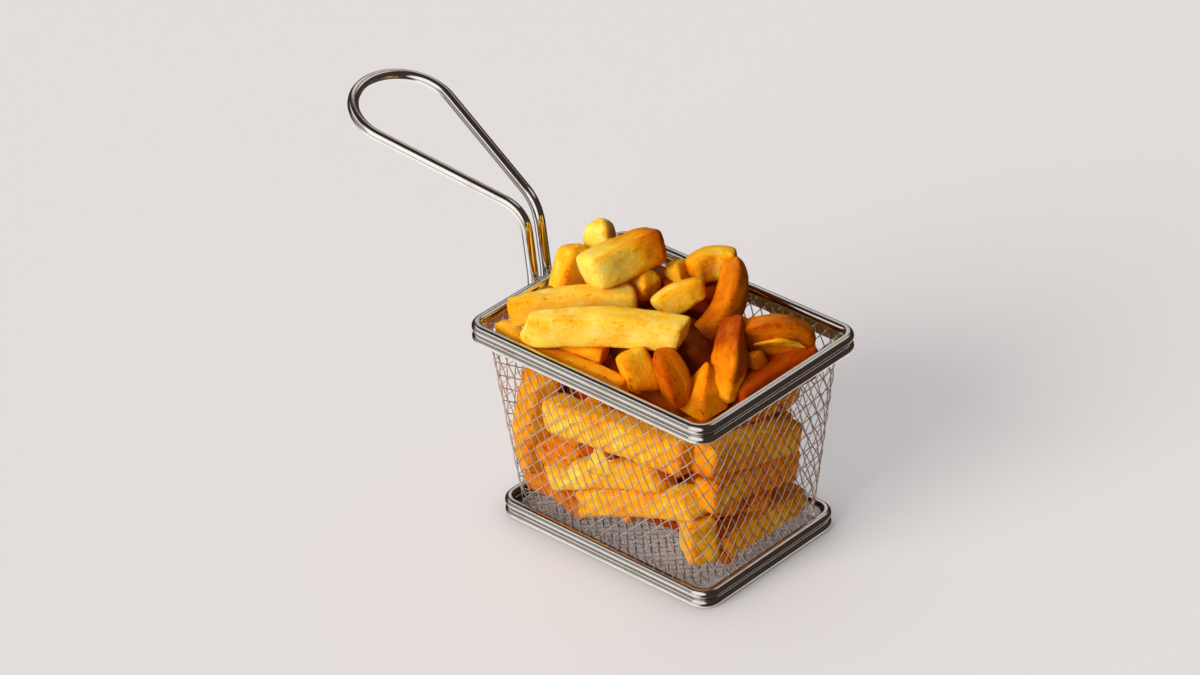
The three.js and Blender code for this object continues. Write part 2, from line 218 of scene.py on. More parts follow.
def wires(name: str, runs: Iterable[Sequence[Vector]], radius: float, roundness: int) -> Piece:
    """Makes round wires along lines of points, as one mesh.

    Args:
        name: The name of the mesh.
        runs: The points of each wire's middle line, in metres.
        radius: The wires' radius in metres.
        roundness: How finely the wires are rounded.

    Returns:
        The object that holds all the wires.
    """
    lines = bpy.data.curves.new(name, "CURVE")
    lines.dimensions = "3D"
    lines.bevel_depth = radius
    lines.bevel_resolution = roundness
    lines.use_fill_caps = True
    for run in runs:
        spline = lines.splines.new("POLY")
        spline.points.add(len(run) - 1)
        for point, at in zip(spline.points, run):
            point.co = (*at, 1.0)
    rods = bpy.data.objects.new(name, lines)
    bpy.context.scene.collection.objects.link(rods)
    alone(rods)
    bpy.ops.object.convert(target="MESH")
    return active(name)


# ---- Shader bench ----


class Signal:
    """A value that leaves a node's socket, so that shader maths reads as arithmetic."""

    def __init__(self, bench: Bench, socket: bpy.types.NodeSocket) -> None:
        """Wraps a socket of a bench's node tree."""
        self.bench = bench
        self.socket = socket

    def _maths(self, operation: str, *values: Signal | float) -> Signal:
        """Returns the result of a Math node, from its operation and its inputs in order."""
        return self.bench.signal("ShaderNodeMath", {"operation": operation}, dict(enumerate(values)))

    def __add__(self, other: Signal | float) -> Signal:
        """Returns self + other."""
        return self._maths("ADD", self, other)

    __radd__ = __add__

    def __sub__(self, other: Signal | float) -> Signal:
        """Returns self - other."""
        return self._maths("SUBTRACT", self, other)

    def __rsub__(self, other: float) -> Signal:
        """Returns other - self."""
        return self._maths("SUBTRACT", other, self)

    def __mul__(self, other: Signal | float) -> Signal:
        """Returns self * other."""
        return self._maths("MULTIPLY", self, other)

    __rmul__ = __mul__

    def rise(self, low: float, high: float) -> Signal:
        """Returns 0 below low, 1 above high and a smooth climb between them."""
        inputs = {"Value": self, "From Min": low, "From Max": high}
        return self.bench.signal("ShaderNodeMapRange", {"interpolation_type": "SMOOTHSTEP"}, inputs)


class Bench:
    """The node tree of one material or of the world, and the one way nodes are added to it."""

    def __init__(self, tree: bpy.types.NodeTree) -> None:
        """Empties a node tree and takes it over."""
        self.tree = tree
        tree.nodes.clear()

    @staticmethod
    def _socket(sockets: Iterable[bpy.types.NodeSocket], key: str | int) -> bpy.types.NodeSocket:
        """Returns the socket with an index, an identifier or a name."""
        every = list(sockets)
        if isinstance(key, int):
            return every[key]
        return next((s for s in every if s.identifier == key), None) or next(
            s for s in every if s.name == key
        )

    def node(
        self, kind: str, settings: dict | None = None, inputs: dict | None = None
    ) -> bpy.types.Node:
        """Adds a node.

        Args:
            kind: The node's type.
            settings: What is set on the node itself, first; stops are a colour ramp's.
            inputs: Values, signals or sockets by the name or index of their socket.

        Returns:
            The new node.
        """
        node = self.tree.nodes.new(kind)
        for name, value in (settings or {}).items():
            if name == "stops":
                self._set_stops(node.color_ramp, value)
            else:
                setattr(node, name, value)
        for key, value in (inputs or {}).items():
            socket = self._socket(node.inputs, key)
            if isinstance(value, Signal):
                self.tree.links.new(value.socket, socket)
            else:
                socket.default_value = value
        return node

    @staticmethod
    def _set_stops(ramp: bpy.types.ColorRamp, stops: Sequence[tuple[float, Triple]]) -> None:
        """Gives a colour ramp its stops."""
        while len(ramp.elements) < len(stops):
            ramp.elements.new(1.0)
        for element, (place, colour) in zip(ramp.elements, stops):
            element.position = place
            element.color = (*colour, 1.0)

    def signal(
        self, kind: str, settings: dict | None = None, inputs: dict | None = None, output: str | int = 0
    ) -> Signal:
        """Adds a node as node() does, and returns its output with a name or an index."""
        made = self.node(kind, settings, inputs)
        return Signal(self, self._socket(made.outputs, output))

    def attribute(self, name: str, output: str = "Fac") -> Signal:
        """Returns an attribute of the piece's own mesh."""
        return self.signal("ShaderNodeAttribute", {"attribute_name": name}, output=output)

    def grain(self, where: Signal, per_metre: float, detail: float = 2.0, rough: float = 0.5) -> Signal:
        """Returns a cloudy noise about 0.5, read at a point, with so many features in a metre."""
        inputs = {"Vector": where, "Scale": per_metre, "Detail": detail, "Roughness": rough}
        return self.signal("ShaderNodeTexNoise", None, inputs, "Fac")

    def blend(self, share: Signal, low: Signal | Triple, high: Signal | Triple) -> Signal:
        """Returns a colour between two.

        Args:
            share: How much of the second colour shows.
            low: The first colour.
            high: The second colour.

        Returns:
            The mixed colour.
        """
        colours = [c if isinstance(c, Signal) else (*c, 1.0) for c in (low, high)]
        inputs = {"Factor_Float": share, "A_Color": colours[0], "B_Color": colours[1]}
        return self.signal("ShaderNodeMix", {"data_type": "RGBA"}, inputs, "Result_Color")

    def bump(self, height: Signal, strength: float, depth: float, under: Signal | None = None) -> Signal:
        """Returns a normal that follows a height.

        Args:
            height: The height at each point.
            strength: How strongly it shows.
            depth: How far one unit of height stands out, in metres.
            under: A coarser normal that it is laid on.

        Returns:
            The bent normal.
        """
        inputs: dict = {"Height": height, "Strength": strength, "Distance": depth}
        if under is not None:
            inputs["Normal"] = under
        return self.signal("ShaderNodeBump", None, inputs, "Normal")


@dataclass(frozen=True)
class Finish:
    """A surface finish, which makes its own material."""

    name: str

    def material(self) -> bpy.types.Material:
        """Returns the finish's material, made once."""
        found = bpy.data.materials.get(self.name)
        if found is not None:
            return found
        made = bpy.data.materials.new(self.name)
        made.use_nodes = True
        bench = Bench(made.node_tree)
        surface = bench.signal("ShaderNodeBsdfPrincipled", None, self.sockets(bench))
        bench.node("ShaderNodeOutputMaterial", None, {"Surface": surface})
        return made

    def sockets(self, bench: Bench) -> dict:
        """Returns what the surface shader's sockets take."""
        raise NotImplementedError

    def dress(self, piece: Piece) -> None:
        """Makes this finish the only material of a piece."""
        piece.data.materials.clear()
        piece.data.materials.append(self.material())


@dataclass(frozen=True)
class Steel(Finish):
    """Stainless steel, drawn or rolled, with faint handling marks.

    smooth and dull are its least and greatest roughness, waves how deep its unevenness is, and the last
    two fields a painted shade: its dark colour and how strongly it darkens the faces that look in at the
    fries.
    """

    colour: Triple = (0.66, 0.63, 0.60)
    stain: Triple = (0.42, 0.37, 0.33)
    smooth: float = 0.10
    dull: float = 0.26
    waves: float = 0.00006
    # Painted shade: the dark colour given to the faces that look in at the fries, and how strongly.
    inner_shade: Triple = (0.09, 0.06, 0.045)
    inner_shade_share: float = 0.0

    def sockets(self, bench: Bench) -> dict:
        """Returns what the surface shader's sockets take."""
        where = bench.signal("ShaderNodeTexCoord", output="Object")
        smears = bench.grain(where, 90.0, 4.0, 0.6)
        specks = bench.grain(where, 900.0, 2.0, 0.6)
        waves = bench.grain(where, 160.0, 3.0, 0.5)
        worn = smears.rise(0.45, 0.72)
        colour = bench.blend(worn * 0.35 + specks.rise(0.62, 0.72) * 0.25, self.colour, self.stain)
        # Painted shade: the faces that look in at the fries are darkened as if shaded by the fries and
        # the cloth.
        if self.inner_shade_share > 0:
            colour = bench.blend(self._faces_in(bench, where) * self.inner_shade_share, colour, self.inner_shade)
        return {
            "Base Color": colour,
            "Metallic": 1.0,
            "Roughness": self.smooth + (self.dull - self.smooth) * (worn * 0.7 + specks * 0.3),
            "Normal": bench.bump(waves + specks * 0.2, 0.6, self.waves),
        }

    @staticmethod
    def _faces_in(bench: Bench, where: Signal) -> Signal:
        """Returns where faces look in at the basket's upright middle line, where the painted shade goes.

        Args:
            bench: The bench that the nodes are made at.
            where: The point, in the part's frame.

        Returns:
            1 on those faces and 0 on the rest.
        """
        middle = {"Vector": where, "Location": (-BASKET_X * MM, 0.0, 0.0), "Scale": (1.0, 1.0, 0.0)}
        outward = bench.signal("ShaderNodeMapping", None, middle, "Vector")
        normal = bench.signal("ShaderNodeNewGeometry", output="Normal")
        both = {0: outward, 1: normal}
        facing = bench.signal("ShaderNodeVectorMath", {"operation": "DOT_PRODUCT"}, both, "Value")
        return 1.0 - facing.rise(-0.022, -0.004)


@dataclass(frozen=True)
class FriedPotato(Finish):
    """Fried potato: pale where it is thick, browned at its edges, with a film of oil and pale patches of
    painted highlight.
    """

    stops: tuple[tuple[float, Triple], ...] = (
        (0.0, (0.96, 0.64, 0.075)),
        (0.3, (0.94, 0.45, 0.012)),
        (0.6, (0.80, 0.22, 0.002)),
        (1.0, (0.38, 0.048, 0.001)),
    )
    scorch: Triple = (0.22, 0.06, 0.01)
    # Painted highlight: the pale cream that soft highlights are painted in.
    highlight_tint: Triple = (0.98, 0.80, 0.24)

    def sockets(self, bench: Bench) -> dict:
        """Returns what the surface shader's sockets take."""
        where = bench.attribute("flesh", "Vector")
        grown = {"Vector": where, "Scale": (1.0, 1.0, 0.35)}
        drawn = bench.signal("ShaderNodeMapping", None, grown, "Vector")
        patches = bench.grain(where, 70.0, 2.0)
        streaks = bench.grain(drawn, 420.0, 4.0, 0.65)
        freckles = bench.grain(where, 520.0, 3.0, 0.7)
        skin = bench.grain(where, 1100.0, 3.0, 0.7)
        edge = bench.attribute("edge")
        fry = bench.attribute("fry") + (patches - 0.5) * 0.8 + (streaks - 0.5) * 0.5
        fry = fry + edge * 0.16 + (freckles.rise(0.52, 0.70) * (edge + 0.25)) * 0.35
        golden = bench.signal("ShaderNodeValToRGB", {"stops": self.stops}, {"Fac": fry}, "Color")
        scorched = bench.grain(where, 230.0, 4.0, 0.75).rise(0.60, 0.74) * (edge + 0.12)
        oil = bench.grain(where, 130.0, 3.0).rise(0.38, 0.62)
        # Painted highlight: pale cream patches on the less fried flesh.
        highlight_patches = bench.grain(where, 150.0, 4.0, 0.65).rise(0.42, 0.70) * (1.0 - fry.rise(0.05, 0.36))
        golden = bench.blend(highlight_patches * 0.5, golden, self.highlight_tint)
        dents = bench.bump(patches + streaks * 0.45, 0.55, 0.0012)
        return {
            "Base Color": bench.blend(scorched * 0.6, golden, self.scorch),
            "Roughness": 0.50 - oil * 0.18 + (skin - 0.5) * 0.3,
            "IOR": 1.42,
            "Specular IOR Level": 0.07,
            "Subsurface Weight": 0.30,
            "Subsurface Radius": (1.0, 0.35, 0.06),
            "Subsurface Scale": 0.0035,
            "Coat Weight": oil * 0.08,
            "Coat Roughness": 0.22,
            "Normal": bench.bump(skin * 0.6 + freckles, 0.45, 0.0006, dents),
        }


@dataclass(frozen=True)
class DarkPotato(Finish):
    """The inside of the heap, in dark colours that paint its shade, seen only through its gaps."""

    # Painted shade: both colours stand for shade, the first in the hollows and the second on the clumps.
    deep: Triple = (0.13, 0.016, 0.001)
    lit: Triple = (0.32, 0.060, 0.002)

    def sockets(self, bench: Bench) -> dict:
        """Returns what the surface shader's sockets take."""
        where = bench.signal("ShaderNodeTexCoord", output="Object")
        clumps = bench.grain(where, 90.0, 3.0)
        return {
            "Base Color": bench.blend(clumps.rise(0.4, 0.65), self.deep, self.lit),
            "Roughness": 0.6 - clumps * 0.1,
            "Specular IOR Level": 0.05,
            "Normal": bench.bump(clumps, 0.8, 0.003),
        }


@dataclass(frozen=True)
class PaleFloor(Finish):
    """The plain matt floor of the studio.

    glow is its own even painted light, which dims within a distance dim of what stands on it as a painted
    contact shadow.
    """

    colour: Triple = (0.42, 0.403, 0.39)
    glow: Triple = (0.389, 0.376, 0.388)
    dim: float = 0.022

    def sockets(self, bench: Bench) -> dict:
        """Returns what the surface shader's sockets take."""
        # Painted shadow: the floor's own glow dims near what stands on it.
        near = {"Color": (*self.glow, 1.0), "Distance": self.dim}
        return {
            "Base Color": (*self.colour, 1.0),
            "Roughness": 0.9,
            "Specular IOR Level": 0.15,
            "Emission Color": bench.signal("ShaderNodeAmbientOcclusion", {"samples": 6}, near, "Color"),
            "Emission Strength": 1.0,
        }


ROLLED_STEEL = Steel("rolled_strip_steel")
# The base frame gets painted shade on its faces that look in at the fries.
BASE_STEEL = Steel("rolled_base_steel", inner_shade_share=0.85)
HANDLE_STEEL = Steel("drawn_handle_wire", colour=(0.76, 0.75, 0.73), smooth=0.08, dull=0.2)
CLOTH_STEEL = Steel("woven_steel_wire", colour=(0.74, 0.62, 0.55), smooth=0.26, dull=0.42)
FRIED = FriedPotato("golden_fried_potato")
DARK = DarkPotato("shaded_fried_potato")
PALE_FLOOR = PaleFloor("pale_floor")


# ---- The folded strips: the rim and the base frame ----


def arc(centre: Pair, radius: float, start: float, end: float, steps: int) -> list[Pair]:
    """Returns points round an arc of a section, from an angle to another in degrees.

    Args:
        centre: The arc's middle, as its inset from the outer face and its height.
        radius: Its radius.
        start: Where it starts, up from the outward direction.
        end: Where it ends.
        steps: How many steps it takes.

    Returns:
        The arc's points, as insets and heights.
    """
    turns = [math.radians(mixed(start, end, i / steps)) for i in range(steps + 1)]
    return [(centre[0] - radius * math.cos(t), centre[1] + radius * math.sin(t)) for t in turns]


@dataclass
class FoldedStrip:
    """A steel strip rolled into two beads on its outer side, round a rounded rectangle.

    bead is the radius of both beads and beads_at their middles' heights, groove how far round
    they meet in the groove between them, lower_start and upper_end where their rolls begin and
    end, and lip the thickness of the plain band behind them, whose foot is chamfered.
    """

    name: str
    length: float
    width: float
    corner: float
    bead: float
    depth: float
    beads_at: Pair
    foot: float
    groove: float = 76.0
    lower_start: float = -105.0
    upper_end: float = 205.0
    lip: float = 0.5
    chamfer: float = 0.3
    corner_steps: int = 14

    def section(self) -> list[Pair]:
        """Returns the strip's closed outline, as insets and heights."""
        low, high = self.beads_at
        band = self.depth - self.lip
        return [
            *arc((self.bead, low), self.bead, self.lower_start, self.groove, 12),
            *arc((self.bead, high), self.bead, -self.groove, self.upper_end, 18),
            (band, high - self.bead * 0.75),
            (band, self.foot + self.lip),
            (band - self.chamfer, self.foot),
        ]

    def build(self) -> Piece:
        """Returns the strip, swept from its section through a quarter and mirrored."""
        outline = self.section()
        bpy.ops.mesh.primitive_circle_add(vertices=len(outline), fill_type="NOTHING")
        strip = active(self.name)
        for vertex, (inset, height) in zip(strip.data.vertices, outline):
            vertex.co = Vector((0, inset - self.width / 2, height)) * MM
        along = (self.length / 2 - self.corner) * MM
        across = (self.width / 2 - self.corner) * MM
        with editing(strip):
            bpy.ops.mesh.select_all(action="SELECT")
            bpy.ops.mesh.extrude_region_move(TRANSFORM_OT_translate={"value": (along, 0, 0)})
            bpy.ops.mesh.spin(
                steps=self.corner_steps, angle=-math.pi / 2, center=(along, -across, 0), axis=(0, 0, 1)
            )
            bpy.ops.mesh.extrude_region_move(TRANSFORM_OT_translate={"value": (0, across, 0)})
        modified(strip, "MIRROR", use_axis=(True, True, False), merge_threshold=1e-5)
        strip.location.x = BASKET_X * MM
        settle(strip)
        tidy_mesh(strip, 1e-5, 40)
        return strip


# ---- The handle ----


@dataclass
class Handle:
    """One bent wire: two legs against the rim, a bend, and a loop that widens outwards."""

    wire: float = 4.4
    legs: float = 7.2
    reach: float = 92.0
    rise: float = 27.0
    lean: float = 6.3
    tilt: float = 16.8
    spread: float = 14.3
    bend: float = 9.0
    foot_height: float = 79.1
    rim_top: float = 87.5
    rim_length: float = 120.0
    gap: float = 0.3
    bend_steps: int = 12
    loop_steps: int = 44
    weld_at: Pair = (2.1, 1.3)
    weld_radius: float = 1.15
    weld_shape: Triple = (0.8, 1.0, 1.5)
    weld_lumps: Pair = (0.15, 700.0)

    @property
    def foot_x(self) -> float:
        """Where the legs stand along X."""
        return -self.rim_length / 2 - self.gap - self.wire / 2

    def _side(self, side: int) -> list[Vector]:
        """Returns the points from a leg's foot to where the loop turns round.

        Args:
            side: -1 for the leg towards -Y and 1 for the other.

        Returns:
            The points in the basket's frame.
        """
        half = side * self.legs / 2
        leave = Vector((self.foot_x, half, self.rim_top))
        bend = Vector((self.knee.x, half, self.knee.z))
        turn = self.knee + self.out * (self.middle - self.radius * math.sin(math.radians(self.spread)))
        turn.y = side * self.radius * math.cos(math.radians(self.spread))
        before = bend + (leave - bend).normalized() * self.bend
        after = bend + (turn - bend).normalized() * self.bend
        shares = [i / self.bend_steps for i in range(self.bend_steps + 1)]
        knee = [before.lerp(bend, t).lerp(bend.lerp(after, t), t) for t in shares]
        return [Vector((self.foot_x, half, self.foot_height)), leave, *knee, turn]

    @property
    def knee(self) -> Vector:
        """The corner of the bend, midway between the legs."""
        x = self.foot_x - self.rise * math.tan(math.radians(self.lean))
        return Vector((x, 0, self.rim_top + self.rise))

    @property
    def out(self) -> Vector:
        """The direction in which the loop leaves the bend."""
        tilt = math.radians(self.tilt)
        return Vector((-math.cos(tilt), 0, math.sin(tilt)))

    @property
    def tip(self) -> float:
        """How far the loop's far end lies from the corner of the bend."""
        reached = self.rim_length / 2 + self.reach - self.wire / 2 + self.knee.x
        return reached / math.cos(math.radians(self.tilt))

    @property
    def middle(self) -> float:
        """How far the middle of the loop's round end lies from the corner of the bend."""
        spread = math.radians(self.spread)
        return (self.tip - self.legs / 2 * math.cos(spread)) / (1 + math.sin(spread))

    @property
    def radius(self) -> float:
        """The radius of the loop's round end, which is tangent to both sides."""
        return self.tip - self.middle

    def route(self) -> list[Vector]:
        """Returns the wire's middle line, from one foot to the other."""
        centre = self.knee + self.out * self.middle
        sweep = math.pi + 2 * math.radians(self.spread)
        turns = [(i / self.loop_steps - 0.5) * sweep for i in range(1, self.loop_steps)]
        end = [
            centre + self.out * (self.radius * math.cos(t)) + Vector((0, self.radius * math.sin(t), 0))
            for t in turns
        ]
        return [*self._side(-1), *end, *reversed(self._side(1))]

    def build(self) -> Piece:
        """Returns the bent wire as a mesh."""
        route = [placed(point) for point in self.route()]
        rod = wires("handle_wire", [route], self.wire / 2 * MM, 6)
        tidy_mesh(rod, 1e-6, 50)
        return rod

    def welds(self, heights: Sequence[float]) -> Piece:
        """Returns the beads of weld that hold the legs to the rim's beads, at some heights."""
        out, aside = self.weld_at
        beads = [
            self._weld((self.foot_x + out, side * self.legs / 2 + flank * aside, height))
            for side in (-1, 1)
            for height in heights
            for flank in (-1, 1)
        ]
        return joined(beads, "handle_welds")

    def _weld(self, at: Triple) -> Piece:
        """Returns one bead of weld, an uneven drop.

        Args:
            at: Its middle in the basket's frame.

        Returns:
            The bead.
        """
        bpy.ops.mesh.primitive_uv_sphere_add(
            segments=14, ring_count=8, radius=self.weld_radius * MM, location=placed(at)
        )
        bead = active("weld")
        bead.scale = self.weld_shape
        settle(bead)
        deep, fine = self.weld_lumps
        for vertex in bead.data.vertices:
            vertex.co += uneven(vertex.co * fine) * deep * MM
        smooth(bead)
        return bead


# ---- The woven cloth ----


@dataclass(frozen=True)
class Walls:
    """The leaning cloth walls, which all the basket's inner sizes follow."""

    length: float = 120.0
    width: float = 91.0
    top: float = 78.8
    foot: float = 5.9
    top_inset: float = 3.9
    foot_inset: float = 10.6
    corner: float = 9.4
    thick: float = 1.2
    floor: float = 6.3

    @property
    def lean(self) -> float:
        """How far the cloth leans outwards for each millimetre that it rises."""
        return (self.foot_inset - self.top_inset) / (self.top - self.foot)

    def inset(self, height: float, depth: float = 0.0) -> float:
        """Returns how far inside the rim's outer face the cloth lies, at a height and a depth in it."""
        share = (height - self.foot) / (self.top - self.foot)
        return mixed(self.foot_inset, self.top_inset, share) + depth

    def halves(self, height: float, depth: float) -> Pair:
        """Returns half the length and half the width at a height and a depth in the cloth."""
        inset = self.inset(height, depth)
        return self.length / 2 - inset, self.width / 2 - inset

    def corner_point(self, quarter: int, share: float, height: float, depth: float) -> Vector:
        """Returns a point on a rounded corner.

        Args:
            quarter: The corner, counted from the one between the hidden walls.
            share: How far round the corner the point lies.
            height: Its height.
            depth: How deep in the cloth it lies.

        Returns:
            The point.
        """
        half_x, half_y = self.halves(height, depth)
        radius = self.corner - depth
        turn = math.radians(90 * (quarter + 1 + share))
        sign_x = (-1, -1, 1, 1)[quarter % 4]
        sign_y = (1, -1, -1, 1)[quarter % 4]
        x = sign_x * (half_x - radius) + radius * math.cos(turn)
        y = sign_y * (half_y - radius) + radius * math.sin(turn)
        return Vector((x, y, height))


@dataclass
class NetStrip:
    """A flat strip of the cloth between two of its upright lines, standing and laid flat."""

    foot: Vector
    up: Vector
    side: Vector
    flat_foot: Vector
    flat_up: Vector

    @property
    def flat_side(self) -> Vector:
        """The direction along the cloth, laid flat, that is square to its upright line."""
        return Vector((self.flat_up.y, -self.flat_up.x))

    def beside(self, flat: Vector) -> float:
        """Returns how far a point of the flat cloth lies past the strip's first line."""
        return (flat - self.flat_foot).dot(self.flat_side)

    def stands(self, flat: Vector, proud: float) -> Vector:
        """Returns where a point of the flat cloth stands.

        Args:
            flat: The point on the flat cloth.
            proud: How far it stands out of the cloth's middle.

        Returns:
            The point in the basket's frame.
        """
        rise = (flat - self.flat_foot).dot(self.flat_up)
        outward = self.side.cross(self.up)
        return self.foot + self.up * rise + self.side * self.beside(flat) + outward * proud


@dataclass(frozen=True)
class WireFamily:
    """Wires that run side by side along one direction of the flat cloth."""

    along: Vector
    normal: Vector
    pitch: float
    phase: float

    def count(self, flat: Vector) -> float:
        """Returns how many pitches a point lies past the first wire."""
        return flat.dot(self.normal) / self.pitch - self.phase


@dataclass
class Weave:
    """A plain weave of two families of crimped wires on the bias.

    steps is how many points a wire has from one crossing to the next.
    """

    wire: float = 0.46
    crimp: float = 0.18
    angles: Pair = (44.5, -70.0)
    pitches: Pair = (4.53, 4.42)
    phases: Pair = (0.1, 0.35)
    steps: int = 4

    def runs(self, where: Placing, turn: float, reach: tuple[Vector, Vector]) -> Iterator[list[Vector]]:
        """Yields the middle line of each wire.

        Args:
            where: Gives where a point of the flat cloth stands, or nothing off the cloth.
            turn: How far the cloth's own frame is turned, in radians.
            reach: The lowest and highest corner of the flat cloth.

        Yields:
            The points of one wire.
        """
        families = []
        for angle, pitch, phase in zip(self.angles, self.pitches, self.phases):
            way = turn + math.radians(angle)
            along = Vector((math.cos(way), math.sin(way)))
            families.append(WireFamily(along, Vector((-along.y, along.x)), pitch, phase))
        corners = [Vector((x, y)) for x in (reach[0].x, reach[1].x) for y in (reach[0].y, reach[1].y)]
        yield from self._family(families[0], families[1], self.crimp, where, corners)
        yield from self._family(families[1], families[0], -self.crimp, where, corners)

    def _family(
        self, mine: WireFamily, other: WireFamily, crimp: float, where: Placing, corners: list[Vector]
    ) -> Iterator[list[Vector]]:
        """Yields the wires of one family.

        Args:
            mine: This family.
            other: The family that it crosses.
            crimp: How far its first wire stands proud where it first crosses.
            where: Gives where a point of the flat cloth stands.
            corners: The corners of the flat cloth.

        Yields:
            The points of one wire.
        """
        places = [mine.count(corner) for corner in corners]
        advance = mine.along.dot(other.normal) / other.pitch
        for line in range(math.floor(min(places)), math.ceil(max(places)) + 1):
            base = mine.normal * (line + mine.phase) * mine.pitch
            offset = other.count(base)
            ends = sorted(corner.dot(mine.along) * advance + offset for corner in corners)
            first, last = math.floor(ends[0] * self.steps), math.ceil(ends[-1] * self.steps)
            points = []
            for crossing in (step / self.steps for step in range(first, last + 1)):
                over = crimp * math.cos(math.pi * crossing) * (-1) ** line
                points.append(where(base + mine.along * ((crossing - offset) / advance), over))
            for held, run in groupby(points, lambda point: point is not None):
                wire = list(run)
                if held and len(wire) > 2:
                    yield wire


@dataclass
class WireCloth:
    """The basket's walls as one wrapped sheet of wire cloth, and its floor as another.

    tuck_top and tuck_foot are how far the sheet runs on past the walls' top and foot, lap how far
    its ends pass each other, and height and spare how high and how far past its ends wires are
    looked for.
    """

    walls: Walls = field(default_factory=Walls)
    weave: Weave = field(default_factory=Weave)
    corner_strips: int = 8
    tuck_top: float = 4.6
    tuck_foot: float = 0.6
    lap: float = 1.2
    height: float = 78.0
    spare: float = 6.0
    floor_angles: Pair = (44.5, -45.5)
    floor_pitches: Pair = (3.0, 2.9)

    @property
    def front(self) -> int:
        """The place of the front wall's strip, after half a corner, the left wall and a corner."""
        return self.corner_strips // 2 + 1 + self.corner_strips

    def _lines(self) -> list[tuple[Vector, Vector]]:
        """Returns the sheet's upright lines, each as its foot and its top, in order."""
        half = self.corner_strips // 2
        whole = range(self.corner_strips + 1)
        marks = [(0, i) for i in whole[half:]]
        marks += [(quarter, i) for quarter in (1, 2, 3) for i in whole]
        marks += [(0, i) for i in whole[: half + 1]]
        return [self._line(quarter, i / self.corner_strips) for quarter, i in marks]

    def _line(self, quarter: int, share: float) -> tuple[Vector, Vector]:
        """Returns one upright line of the sheet's middle, as its foot and its top."""
        ends = (self.walls.foot, self.walls.top)
        return tuple(self.walls.corner_point(quarter, share, z, self.walls.thick / 2) for z in ends)

    def strips(self) -> list[NetStrip]:
        """Returns the sheet's flat strips, standing and laid flat side by side."""
        lines = self._lines()
        flat_foot, flat_up = Vector((0, 0)), Vector((0, 1))
        strips = []
        for (foot, top), (next_foot, next_top) in zip(lines, lines[1:]):
            up = (top - foot).normalized()
            step = next_foot - foot
            side = (step - up * step.dot(up)).normalized()
            strip = NetStrip(foot, up, side, flat_foot.copy(), flat_up.copy())
            strips.append(strip)
            ends = [point - foot for point in (next_foot, next_top)]
            flat = [strip.flat_up * end.dot(up) + strip.flat_side * end.dot(side) for end in ends]
            flat_foot = strip.flat_foot + flat[0]
            flat_up = (flat[1] - flat[0]).normalized()
        return strips

    def build_walls(self) -> Piece:
        """Returns the wires of the walls."""
        strips = self.strips()
        first, last = strips[0], strips[-1]
        edge = strips[self.front + 1].flat_foot - strips[self.front].flat_foot
        centre = strips[self.front].flat_foot + edge / 2

        def where(flat: Vector, proud: float) -> Vector | None:
            """Returns where a point of the flat cloth stands, or nothing off the cloth."""
            flat = flat + centre
            if first.beside(flat) < -self.lap:
                return None
            strip = first
            for following in strips[1:]:
                if following.beside(flat) <= 0:
                    break
                strip = following
            above = max(0.0, strip.stands(flat, 0.0).z - self.walls.top)
            stands = strip.stands(flat, proud - above * self.walls.lean)
            if strip is last and (stands - last.foot).dot(last.side) > self.lap * 2:
                return None
            inside = self.walls.foot - self.tuck_foot < stands.z < self.walls.top + self.tuck_top
            return placed(stands) if inside else None

        points = [s.flat_foot + s.flat_up * rise - centre for s in strips for rise in (0.0, self.height)]
        low = Vector((min(p.x for p in points) - self.spare, min(p.y for p in points) - self.spare))
        high = Vector((max(p.x for p in points) + self.spare, max(p.y for p in points) + self.spare))
        runs = self.weave.runs(where, math.atan2(edge.y, edge.x), (low, high))
        return self._cloth("cloth_walls", runs)

    def build_floor(self) -> Piece:
        """Returns the wires of the floor."""
        height = self.walls.floor + self.walls.thick / 2
        half_x, half_y = self.walls.halves(height, self.walls.thick)
        radius = self.walls.corner - self.walls.thick

        def where(flat: Vector, proud: float) -> Vector | None:
            """Returns where a point of the flat cloth lies, or nothing off the cloth."""
            past = (abs(flat.x) - half_x + radius, abs(flat.y) - half_y + radius)
            inside = Vector((max(past[0], 0), max(past[1], 0))).length < radius
            return placed((flat.x, flat.y, height + proud)) if inside else None

        bias = Weave(angles=self.floor_angles, pitches=self.floor_pitches)
        runs = bias.runs(where, 0.0, (Vector((-half_x, -half_y)), Vector((half_x, half_y))))
        return self._cloth("cloth_floor", runs)

    def _cloth(self, name: str, runs: Iterable[list[Vector]]) -> Piece:
        """Returns wires along some runs, shaded smooth."""
        cloth = wires(name, runs, self.weave.wire / 2 * MM, 1)
        smooth(cloth)
        return cloth


# ---- The fries ----


class Fry(Enum):
    """How far a chip is fried, as its place on the colours of fried potato; the darkest level is painted
    shade.
    """

    PALE = 0.06
    STRAW = 0.2
    GOLD = 0.34
    AMBER = 0.52
    BROWN = 0.7
    # Painted shade: the darkest level stands for the shade on chips that lie under and among the others.
    DEEP_SHADE = 0.95


PALE, STRAW, GOLD, AMBER, BROWN, DEEP_SHADE = Fry


@dataclass(frozen=True)
class Chip:
    """One chip, from one end's middle to the other's.

    size is its width and height, via where its middle line passes halfway or else bow how far it
    bends upwards, roll its turn about its length, ends the share of its thickness that it keeps at
    either end, sharp how late that taper sets in, soft how round its edges are, fade how much
    browner it is towards its end, tips how far from its ends it rounds off, and cuts how far off
    true either end is cut, across its width and its height.
    """

    start: Triple
    end: Triple
    size: Pair
    fry: Fry = GOLD
    via: Triple | None = None
    bow: float = 1.0
    roll: float = 0.0
    ends: Pair = (1.0, 1.0)
    sharp: float = 2.0
    soft: float = 2.8
    fade: float = 0.0
    tips: Pair = (0.0, 0.0)
    cuts: tuple[Pair, Pair] = ((0.0, 0.0), (0.0, 0.0))
